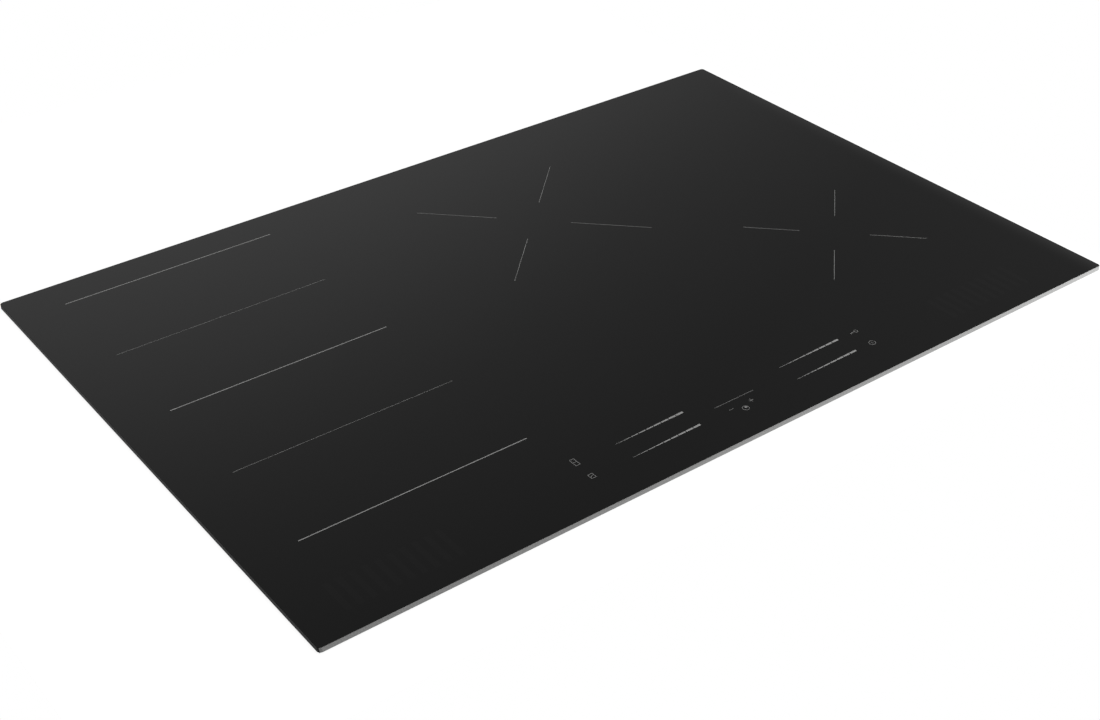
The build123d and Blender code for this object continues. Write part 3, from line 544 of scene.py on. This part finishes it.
ferrite, mica = sintered_ferrite(), pressed_mica()
coil_places = ("left_rear", "left_front", "middle_rear", "right_front")
litz_diameter = 3.2 * MM
litz_twists = 90
for place in coil_places:
    low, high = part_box(f"coil_winding_{place}")
    litz = enamelled_copper(f"litz_wire_{place}", litz_diameter, (low + high) / 2, litz_twists)
    dress(litz, f"coil_winding_{place}")
    dress(carrier_plastic, f"coil_carrier_{place}")
    dress(ferrite, f"coil_ferrites_{place}")
    dress(mica, f"coil_mica_{place}")
    dress(sensor_silicone, f"coil_sensor_{place}")

# Coil springs: three helical springs of drawn steel wire press each coil up against the glass.
# Their end turns lie close. Here they are wound at one length and ride with the casing.
spring_radius = 3.4 * MM
spring_wire = 0.8 * MM
spring_turns = 5
closed_turns = 1.0
closed_pitch = 1.05 * spring_wire
lug_reach = 4.0 * MM
lug_count = 3


def drawn_spring_wire():
    """Hard-drawn steel wire: dark and bright at once, its gloss a little uneven from the die."""
    mark = 0.5 * MM
    material, tree, place = new_material("drawn_spring_wire")
    marks = add(tree, "TexNoise", {"Scale": 1 / mark, "Detail": 3.0}, {"Vector": place})
    colour = add(
        tree,
        "ValToRGB",
        {"stops": [(0.3, "#85888c"), (0.7, "#a3a6aa")]},
        {"Fac": marks.outputs["Fac"]},
    )
    gloss = add(
        tree, "MapRange", {"To Min": 0.18, "To Max": 0.34}, {"Value": marks.outputs["Fac"]}
    )
    surface(
        tree,
        {"Metallic": 1.0},
        {"Base Color": colour.outputs["Color"], "Roughness": gloss.outputs["Result"]},
    )
    return material


def wind(mesh, centre, low, high, steps=24, sides=8):
    """Winds one spring about a vertical axis, its wire lying between the low and high levels."""
    rise = high - low - spring_wire
    open_turns = spring_turns - 2 * closed_turns
    open_pitch = (rise - 2 * closed_turns * closed_pitch) / open_turns
    rings = []
    for step in range(spring_turns * steps + 1):
        turn = step / steps
        height = closed_pitch * min(turn, closed_turns)
        height += open_pitch * min(max(turn - closed_turns, 0.0), open_turns)
        height += closed_pitch * max(turn - spring_turns + closed_turns, 0.0)
        around = 2 * math.pi * turn
        outward = Vector((math.cos(around), math.sin(around), 0.0))
        middle = centre + outward * spring_radius + Vector((0, 0, low + spring_wire / 2 + height))
        ring = []
        for side in range(sides):
            tilt = 2 * math.pi * side / sides
            off = outward * math.cos(tilt) + Vector((0, 0, math.sin(tilt)))
            ring.append(mesh.verts.new(middle + off * spring_wire / 2))
        rings.append(ring)
    for before, after in zip(rings, rings[1:]):
        for side in range(sides):
            turn_on = (side + 1) % sides
            mesh.faces.new((before[side], after[side], after[turn_on], before[turn_on]))
    mesh.faces.new(rings[0])
    mesh.faces.new(reversed(rings[-1]))


def piece_from(mesh, name, material, smooth=True):
    """Turns a finished bmesh into an object in the scene, its faces looking outwards."""
    bmesh.ops.recalc_face_normals(mesh, faces=mesh.faces)
    data = bpy.data.meshes.new(name)
    mesh.to_mesh(data)
    mesh.free()
    data.materials.append(material)
    data.polygons.foreach_set("use_smooth", [smooth] * len(data.polygons))
    piece = bpy.data.objects.new(name, data)
    bpy.context.scene.collection.objects.link(piece)
    return piece


spring_finish = drawn_spring_wire()
for place in coil_places:
    rim_low, rim_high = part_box(f"coil_mica_{place}")
    low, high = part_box(f"coil_springs_{place}")
    middle = (rim_low + rim_high) / 2
    ring = (rim_high.x - rim_low.x) / 2 + lug_reach
    mesh = bmesh.new()
    for lug in range(lug_count):
        turn = 2 * math.pi * lug / lug_count
        centre = Vector((middle.x + ring * math.cos(turn), middle.y + ring * math.sin(turn), 0.0))
        wind(mesh, centre, low.z, high.z)
    springs = piece_from(mesh, f"wound_springs_{place}", spring_finish)
    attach(springs, "casing")
    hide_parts(f"coil_springs_{place}")
    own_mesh(springs)

# Touch controls: a board with a milky acrylic light guide in a black holder, close under the
# front of the glass.
dress(polyester_black, "touch_holder")
dress(laminate, "touch_board")
dress(moulded_plastic("milky_acrylic", "#dfe1e3", "#e9ebec", 0.22, 1.5 * MM), "touch_light_guide")

# Glass carrier: a folded galvanised frame, glued under the glass with a bead of silicone, and
# a tape of closed-cell foam that seals the rim to the worktop.
dress(galvanised, "glass_frame")
dress(moulded_plastic("silicone_grey", "#86888a", "#939597", 0.35, 2.5 * MM), "glass_bead")


def closed_cell_foam():
    """Foamed rubber: dark grey and dull, with its small cut cells as pits, painted darker towards
    their middles as painted shade.
    """
    cell = 0.9 * MM
    material, tree, place = new_material("closed_cell_foam")
    cells = add(tree, "TexVoronoi", {"Scale": 1 / cell}, {"Vector": place})
    # Painted shade: the ramp darkens each cut cell towards its middle, where the bump sinks in.
    colour = add(
        tree,
        "ValToRGB",
        {"stops": [(0.0, "#2c2d2f"), (0.7, "#4a4b4e")]},
        {"Fac": cells.outputs["Distance"]},
    )
    bump = add(
        tree,
        "Bump",
        {"Strength": 0.6, "Distance": 0.2 * MM},
        {"Height": cells.outputs["Distance"]},
    )
    surface(
        tree,
        {"Roughness": 0.9, "IOR": 1.45},
        {"Base Color": colour.outputs["Color"], "Normal": bump.outputs["Normal"]},
    )
    return material


dress(closed_cell_foam(), "seal_tape")

# Glass plate: 4 mm of through-dyed black glass-ceramic with a fire-polished top. Its front edge is
# ground to a wide facet, and its other edges are only broken.
# The front edge's pale colour and the other edges' dark colour are partly their finish and partly
# painted light and painted shade.
glass_low, glass_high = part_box("glass_plate")
vent_pitch = 9.8 * MM
vent_bar = 4.6 * MM
vent_bars = 10
vent_length = 31 * MM
vent_y = glass_low.y + 35 * MM
vent_left = glass_low.x + 78.9 * MM
vent_right = glass_high.x - 116.1 * MM


def black_glass_ceramic():
    """Polished black glass: nearly no colour of its own, so it shows a soft mirror of the room.

    Over the air slots at the front corners, faint lighter stripes are painted on the plate, as
    painted light standing in for the slots seen through it.
    Near the right edge the colour is painted lighter a little way into the rim, less so towards the
    back: a painted glow for light that enters that edge.
    """
    wipe, rim_glow, glow_from, glow_to = 45 * MM, 24 * MM, 25 * MM, 100 * MM
    glow_falloff, glow_behind = 2.6, 0.2
    material, tree, place = new_material("black_glass_ceramic")
    axes = add(tree, "SeparateXYZ", None, {"Vector": place})
    # Painted light: over the air slots the colour is made a little lighter in stripes, standing in
    # for the slots seen through the glass.
    to_right = add(tree, "Math", {"operation": "GREATER_THAN", 1: 0.0}, {0: axes.outputs["X"]})
    centre = add(
        tree,
        "Math",
        {"operation": "MULTIPLY_ADD", 1: vent_right - vent_left, 2: vent_left},
        {0: to_right.outputs[0]},
    )
    off = add(
        tree, "Math", {"operation": "SUBTRACT"}, {0: axes.outputs["X"], 1: centre.outputs[0]}
    )
    count = add(tree, "Math", {"operation": "DIVIDE", 1: vent_pitch}, {0: off.outputs[0]})
    within = add(
        tree, "Math", {"operation": "COMPARE", 1: 0.0, 2: vent_bars / 2}, {0: count.outputs[0]}
    )
    share = add(tree, "Math", {"operation": "FRACT"}, {0: count.outputs[0]})
    bar = add(
        tree,
        "Math",
        {"operation": "COMPARE", 1: 0.5, 2: vent_bar / vent_pitch / 2},
        {0: share.outputs[0]},
    )
    row = add(
        tree,
        "Math",
        {"operation": "COMPARE", 1: vent_y, 2: vent_length / 2},
        {0: axes.outputs["Y"]},
    )
    both = add(tree, "Math", {"operation": "MULTIPLY"}, {0: within.outputs[0], 1: bar.outputs[0]})
    painted_vent_light = add(tree, "Math", {"operation": "MULTIPLY"}, {0: both.outputs[0], 1: row.outputs[0]})
    colour = add(
        tree,
        "MixRGB",
        {"Color1": linear("#0b0b0b"), "Color2": linear("#0e0e0e")},
        {"Fac": painted_vent_light.outputs[0]},
    )
    # Painted glow: near the right edge the colour is lightened, less so towards the back, standing
    # in for light that enters the edge.
    rim = add(
        tree,
        "MapRange",
        {"From Min": glass_high.x - rim_glow, "From Max": glass_high.x},
        {"Value": axes.outputs["X"]},
    )
    fade = add(tree, "Math", {"operation": "POWER", 1: glow_falloff}, {0: rim.outputs["Result"]})
    forward = add(
        tree,
        "MapRange",
        {
            "From Min": glass_high.y - glow_from,
            "From Max": glass_high.y - glow_to,
            "To Min": glow_behind,
        },
        {"Value": axes.outputs["Y"]},
    )
    glow = add(
        tree, "Math", {"operation": "MULTIPLY"}, {0: fade.outputs[0], 1: forward.outputs["Result"]}
    )
    rimmed = add(
        tree,
        "MixRGB",
        {"Color2": linear("#262626")},
        {"Fac": glow.outputs[0], "Color1": colour.outputs["Color"]},
    )
    haze = add(tree, "TexNoise", {"Scale": 1 / wipe, "Detail": 3.0}, {"Vector": place})
    gloss = add(tree, "MapRange", {"To Min": 0.05, "To Max": 0.1}, {"Value": haze.outputs["Fac"]})
    surface(
        tree,
        {"IOR": 1.53},
        {"Base Color": rimmed.outputs["Color"], "Roughness": gloss.outputs["Result"]},
    )
    return material


def ground_glass(name, dark, pale, gleam):
    """A glass edge cut with fine grit: satin and even, in the colour it is given. The pale copy on
    the front edge carries painted light, and the dark copy on the other edges painted shade, on top
    of their finish.

    Its grain is drawn coarser than the grit's, so that it shows.
    """
    grit = 0.5 * MM
    material, tree, place = new_material(name)
    grain = add(tree, "TexNoise", {"Scale": 1 / grit, "Detail": 3.0}, {"Vector": place})
    colour = add(
        tree, "ValToRGB", {"stops": [(0.3, dark), (0.7, pale)]}, {"Fac": grain.outputs["Fac"]}
    )
    bump = add(
        tree, "Bump", {"Strength": 0.1, "Distance": 0.02 * MM}, {"Height": grain.outputs["Fac"]}
    )
    surface(
        tree,
        {"Roughness": 0.5, "IOR": 1.53, "Specular IOR Level": gleam},
        {"Base Color": colour.outputs["Color"], "Normal": bump.outputs["Normal"]},
    )
    return material


def side_of_glass(face):
    """0 on the flat faces of the plate, 1 on its ground front edge, 2 on the other edges."""
    level = 0.95
    if abs(face.normal.z) > level:
        return 0
    return 1 if -face.normal.y > abs(face.normal.x) else 2


# The front edge is painted pale and the other edges dark: partly their finish, partly painted light
# on the front and painted shade on the sides.
glass_finishes = [
    black_glass_ceramic(),
    ground_glass("ground_front_edge_lit", "#696969", "#737372", 0.5),
    ground_glass("broken_side_edge_shaded", "#0d0d0d", "#131313", 0.06),
]
paint_faces("glass_plate", glass_finishes, side_of_glass)

# Printed marks: ceramic enamel, screen-printed on the glass and fired in. Lines show the flex
# zone, crosses the two round zones, and the row at the front is for the fingers.
ink_height = 0.02 * MM


def fired_enamel():
    """Fired printing ink: a dull mid grey with the faint unevenness of the screen's mesh.

    The mesh is drawn coarser than it is, so that it shows.
    """
    mesh_step = 0.4 * MM
    material, tree, place = new_material("fired_enamel")
    screen = add(tree, "TexNoise", {"Scale": 1 / mesh_step, "Detail": 1.0}, {"Vector": place})
    colour = add(
        tree,
        "ValToRGB",
        {"stops": [(0.3, "#868685"), (0.7, "#919190")]},
        {"Fac": screen.outputs["Fac"]},
    )
    surface(tree, {"Roughness": 0.45, "IOR": 1.5}, {"Base Color": colour.outputs["Color"]})
    return material


def print_line(mesh, path, width, closed=False):
    """Prints a line of that width along plan points in millimetres, as a thin closed strip."""
    mitre_limit = 0.5
    count = len(path)
    rows = []
    for index, (x, y) in enumerate(path):
        before = path[index - 1] if closed or index else path[0]
        after = path[(index + 1) % count] if closed or index < count - 1 else path[-1]
        come = Vector((x - before[0], y - before[1]))
        go = Vector((after[0] - x, after[1] - y))
        come = come.normalized() if come.length else go.normalized()
        go = go.normalized() if go.length else come
        along = (come + go).normalized()
        reach = width / 2 / max(along.dot(go), mitre_limit)
        across = Vector((-along.y, along.x)) * reach
        row = []
        for sign, level in ((1, ink_height), (-1, ink_height), (-1, 0.0), (1, 0.0)):
            spot = Vector((x, y)) + across * sign
            row.append(mesh.verts.new((spot.x * MM, spot.y * MM, glass_high.z + level)))
        rows.append(row)
    pairs = list(zip(rows, rows[1:] + rows[:1])) if closed else list(zip(rows, rows[1:]))
    for one, two in pairs:
        for corner in range(4):
            turn_on = (corner + 1) % 4
            mesh.faces.new((one[corner], two[corner], two[turn_on], one[turn_on]))
    if not closed:
        mesh.faces.new(rows[0])
        mesh.faces.new(reversed(rows[-1]))


def print_patch(mesh, outline):
    """Prints a filled shape with that outline of plan points in millimetres."""
    top = [mesh.verts.new((x * MM, y * MM, glass_high.z + ink_height)) for x, y in outline]
    bottom = [mesh.verts.new((x * MM, y * MM, glass_high.z)) for x, y in outline]
    mesh.faces.new(top)
    mesh.faces.new(reversed(bottom))
    for index in range(len(outline)):
        turn_on = (index + 1) % len(outline)
        mesh.faces.new((top[index], bottom[index], bottom[turn_on], top[turn_on]))


def arc(x, y, radius, start, end, steps):
    """Plan points along an arc, from a start to an end angle in degrees, both included."""
    angles = [math.radians(start + (end - start) * step / steps) for step in range(steps + 1)]
    return [(x + radius * math.cos(angle), y + radius * math.sin(angle)) for angle in angles]


def circle(x, y, radius, steps=48):
    """Plan points all round a circle."""
    return arc(x, y, radius, 0, 360, steps)[:-1]


def printed(mesh, name):
    """Ends a group of marks: a piece that stays on the glass."""
    marks = piece_from(mesh, name, enamel, smooth=False)
    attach(marks, "casing")


enamel = fired_enamel()

flex_left, flex_right = -342.3, -151.1
zone_rows = (220.95, 32.25, -156.75)
divider_rows = (125.95, -62.95)
zone_width, divider_width, divider_inset = 0.72, 0.2, 1.0
mesh = bmesh.new()
for y in zone_rows:
    print_line(mesh, [(flex_left, y), (flex_right, y)], zone_width)
printed(mesh, "print_flex_zone")
mesh = bmesh.new()
for y in divider_rows:
    ends = [(flex_left + divider_inset, y), (flex_right - divider_inset, y)]
    print_line(mesh, ends, divider_width)
printed(mesh, "print_flex_dividers")

# Each cross: its name and centre, where an arm starts and ends from there, and a line's width.
crosses = (
    ("middle", (48.0, 101.0), (23.9, 23.5), (75.1, 74.0), 0.28),
    ("right", (245.0, -77.5), (21.9, 21.5), (57.1, 56.2), 0.31),
)
for name, (x, y), inner, outer, width in crosses:
    mesh = bmesh.new()
    for across in (-1, 1):
        for up in (-1, 1):
            arm = [(x + across * reach_x, y + up * reach_y) for reach_x, reach_y in (inner, outer)]
            print_line(mesh, arm, width)
    printed(mesh, f"print_cross_{name}")

slider_starts = (-104.05, 59.1)
slider_length = 65.0
slider_rows = (-201.95, -221.65)
slider_parts = 9
slider_gap = 0.75
slider_thin, slider_thick = 0.15, 1.95
slider_slope = (slider_thick - slider_thin) / slider_length
part_pitch = (slider_length + slider_gap) / slider_parts
mesh = bmesh.new()
for start in slider_starts:
    for y in slider_rows:
        for part in range(slider_parts):
            left = part * part_pitch
            right = left + part_pitch - slider_gap
            wedge = [
                (start + left, y),
                (start + right, y),
                (start + right, y + slider_thin + slider_slope * right),
                (start + left, y + slider_thin + slider_slope * left),
            ]
            print_patch(mesh, wedge)
printed(mesh, "print_sliders")

sign_stroke = 0.26
timer_left, timer_right, timer_y, timer_width = -17.0, 22.1, -211.75, 0.22
minus_x, plus_x, sign_y, sign_reach = -8.0, 12.1, -220.55, 2.0
mesh = bmesh.new()
print_line(mesh, [(timer_left, timer_y), (timer_right, timer_y)], timer_width)
for x in (minus_x, plus_x):
    print_line(mesh, [(x - sign_reach, sign_y), (x + sign_reach, sign_y)], sign_stroke)
for side in (-1, 1):
    stub = [(plus_x, sign_y + side * sign_stroke / 2), (plus_x, sign_y + side * sign_reach)]
    print_line(mesh, stub, sign_stroke)
printed(mesh, "print_timer_signs")

clock_x, clock_y, clock_radius, clock_stroke = 2.05, -225.6, 2.6, 0.27
clock_hand = 1.9
mesh = bmesh.new()
print_line(mesh, circle(clock_x, clock_y, clock_radius), clock_stroke, closed=True)
quarter = arc(clock_x, clock_y, clock_hand, 0, 90, 12)
print_patch(mesh, [(clock_x, clock_y)] + quarter)
printed(mesh, "print_timer_clock")


def frame_path(x, y, width, height):
    """Plan points of an upright rectangle about a centre."""
    return [
        (x - width / 2, y - height / 2),
        (x + width / 2, y - height / 2),
        (x + width / 2, y + height / 2),
        (x - width / 2, y + height / 2),
    ]


link_x, link_y, link_width, link_height = -141.0, -200.8, 3.7, 7.9
pause_y, pause_width, pause_height = -220.6, 4.0, 4.9
slash_x, slash_y = 1.6, 0.8
mesh = bmesh.new()
print_line(mesh, frame_path(link_x, link_y, link_width, link_height), sign_stroke, closed=True)
bar_reach = (link_width - sign_stroke) / 2
print_line(mesh, [(link_x - bar_reach, link_y), (link_x + bar_reach, link_y)], sign_stroke)
printed(mesh, "print_zone_link")
mesh = bmesh.new()
print_line(mesh, frame_path(link_x, pause_y, pause_width, pause_height), sign_stroke, closed=True)
slash = [(link_x - slash_x, pause_y - slash_y), (link_x + slash_x, pause_y + slash_y)]
print_line(mesh, slash, sign_stroke)
printed(mesh, "print_pause")

power_x, power_y, power_radius, power_bar = 142.3, -220.7, 2.75, 1.3
key_x, key_y, key_radius, key_tip = 144.3, -201.0, 1.6, 138.0
key_teeth = (0.3, 1.5)
tooth_length = 3 * sign_stroke
mesh = bmesh.new()
print_line(mesh, circle(power_x, power_y, power_radius), sign_stroke, closed=True)
print_line(mesh, [(power_x, power_y - power_bar), (power_x, power_y + power_bar)], sign_stroke)
printed(mesh, "print_power")
mesh = bmesh.new()
print_line(mesh, circle(key_x, key_y, key_radius, steps=24), sign_stroke, closed=True)
stem_end = key_x - key_radius - sign_stroke / 2
print_line(mesh, [(key_tip, key_y), (stem_end, key_y)], sign_stroke)
for tooth in key_teeth:
    x, top, bottom = key_tip + tooth, key_y - sign_stroke / 2, key_y - tooth_length
    print_line(mesh, [(x, top), (x, bottom)], sign_stroke)
printed(mesh, "print_key")

# Worktop clamps: flat arms of plated steel on hexagon screws under the ledges, which swing out
# under the worktop and hold the hob down.
dress(zinc_plated, "clamp_screws")
for place in ("left_front", "left_rear", "right_front", "right_rear"):
    dress(zinc_plated, f"worktop_clamp_{place}")

# Stage: a thin white panel stands for the worktop, its inner edge tucked under the rim of the
# glass. The room is white to just above the horizon, then grey, brighter towards the back, for
# the glass to mirror.
reach_left, reach_right, reach_front, reach_back = 150 * MM, 20 * MM, 56 * MM, 330 * MM
panel_tuck, panel_drop, panel_thickness = 0.6 * MM, 0.1 * MM, 1 * MM
panel_top = glass_low.z - panel_drop


def white_laminate():
    """A matt white panel: white to the eye, and a little darker only where the hob shades it."""
    white_share, white_strength = 0.8, 1.08
    material, tree, place = new_material("white_laminate")
    seen = add(tree, "LightPath")
    mirrored = add(
        tree,
        "Math",
        {"operation": "MAXIMUM"},
        {0: seen.outputs["Is Camera Ray"], 1: seen.outputs["Is Glossy Ray"]},
    )
    shown = add(
        tree,
        "Math",
        {"operation": "MAXIMUM"},
        {0: mirrored.outputs[0], 1: seen.outputs["Is Transmission Ray"]},
    )
    share = add(tree, "Math", {"operation": "MULTIPLY", 1: white_share}, {0: shown.outputs[0]})
    matt = add(tree, "BsdfDiffuse", {"Color": linear("#f2f2f2")})
    white = add(tree, "Emission", {"Color": linear("#ffffff"), "Strength": white_strength})
    both = add(
        tree,
        "MixShader",
        None,
        {"Fac": share.outputs[0], 1: matt.outputs["BSDF"], 2: white.outputs["Emission"]},
    )
    add(tree, "OutputMaterial", None, {"Surface": both.outputs["Shader"]})
    return material


mesh = bmesh.new()
corners = []
reaches = ((-panel_tuck,) * 4, (reach_left, reach_right, reach_front, reach_back))
for left, right, front, rear in reaches:
    for level in (panel_top, panel_top - panel_thickness):
        spots = [
            (glass_low.x - left, glass_low.y - front),
            (glass_high.x + right, glass_low.y - front),
            (glass_high.x + right, glass_high.y + rear),
            (glass_low.x - left, glass_high.y + rear),
        ]
        corners.append([mesh.verts.new((x, y, level)) for x, y in spots])
inner_top, inner_bottom, outer_top, outer_bottom = corners
for one, two in (
    (inner_top, outer_top),
    (outer_top, outer_bottom),
    (outer_bottom, inner_bottom),
    (inner_bottom, inner_top),
):
    for index in range(4):
        turn_on = (index + 1) % 4
        mesh.faces.new((one[index], two[index], two[turn_on], one[turn_on]))
worktop = piece_from(mesh, "worktop_panel", white_laminate(), smooth=False)
worktop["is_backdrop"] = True

world = bpy.data.worlds.new("studio")
bpy.context.scene.world = world
world.use_nodes = True
world.node_tree.nodes.clear()
glow_azimuth, glow_elevation = math.radians(16.0), math.radians(8.0)
room_grey = "#6e6e6e"
glow_axis = (
    math.sin(glow_azimuth) * math.cos(glow_elevation),
    math.cos(glow_azimuth) * math.cos(glow_elevation),
    math.sin(glow_elevation),
)
direction = add(world.node_tree, "TexCoord").outputs["Generated"]
towards = add(
    world.node_tree, "VectorMath", {"operation": "DOT_PRODUCT", 1: glow_axis}, {0: direction}
)
glow = add(
    world.node_tree,
    "ValToRGB",
    {
        "stops": [
            (0.8, room_grey),
            (0.835, "#797979"),
            (0.857, "#828282"),
            (0.878, "#8f8f8f"),
            (0.9, "#9e9e9e"),
            (0.915, "#a7a7a7"),
            (1.0, "#cbcbcb"),
        ]
    },
    {"Fac": towards.outputs["Value"]},
)
height = add(world.node_tree, "SeparateXYZ", None, {"Vector": direction})
horizon = add(
    world.node_tree,
    "ValToRGB",
    {"stops": [(0.17, "#ffffff"), (0.2, room_grey)]},
    {"Fac": height.outputs["Z"]},
)
room = add(
    world.node_tree,
    "MixRGB",
    {"blend_type": "LIGHTEN", "Fac": 1.0},
    {"Color1": glow.outputs["Color"], "Color2": horizon.outputs["Color"]},
)
sky = add(world.node_tree, "Background", {"Strength": 1.0}, {"Color": room.outputs["Color"]})
add(world.node_tree, "OutputWorld", None, {"Surface": sky.outputs["Background"]})


def softbox(name, place, target, size, power):
    """A soft rectangular lamp that looks at a target and isn't seen itself."""
    data = bpy.data.lights.new(name, "AREA")
    data.shape = "RECTANGLE"
    data.size, data.size_y = size
    data.energy = power
    lamp = bpy.data.objects.new(name, data)
    lamp.location = place
    lamp.rotation_euler = (Vector(target) - Vector(place)).to_track_quat("-Z", "Y").to_euler()
    lamp.visible_camera = False
    lamp.visible_glossy = False
    bpy.context.scene.collection.objects.link(lamp)


softbox(
    "overhead_softbox",
    place=(0.0, 0.0, 2.0),
    target=(0.0, 0.0, 0.0),
    size=(1.8, 1.4),
    power=34.0,
)
softbox(
    "front_right_softbox",
    place=(0.75, -0.75, 0.08),
    target=(0.2, -0.25, 0.0),
    size=(0.3, 0.1),
    power=14.0,
)

# Camera: where the photograph was taken from, worked out from the corners of the plate, looking
# down past the front left corner.
aim = Vector((-75.57, -85.65, 5.0)) * MM
azimuth, elevation, roll = (math.radians(angle) for angle in (-37.254, 33.876, -0.038))
distance = 1308.5 * MM
back = Vector(
    (
        math.sin(azimuth) * math.cos(elevation),
        -math.cos(azimuth) * math.cos(elevation),
        math.sin(elevation),
    )
)
right = Vector((math.cos(azimuth), math.sin(azimuth), 0.0))
up = back.cross(right)
rolled_right = right * math.cos(roll) + up * math.sin(roll)
rolled_up = up * math.cos(roll) - right * math.sin(roll)
lens = bpy.data.cameras.new("camera")
lens.sensor_width = 36.0
lens.lens = 54.907
camera = bpy.data.objects.new("camera", lens)
camera.matrix_world = Matrix.Translation(aim + back * distance) @ Matrix(
    (rolled_right, rolled_up, back)
).transposed().to_4x4()
bpy.context.scene.collection.objects.link(camera)
bpy.context.scene.camera = camera
bpy.context.scene.view_settings.view_transform = "Standard"

low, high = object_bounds()
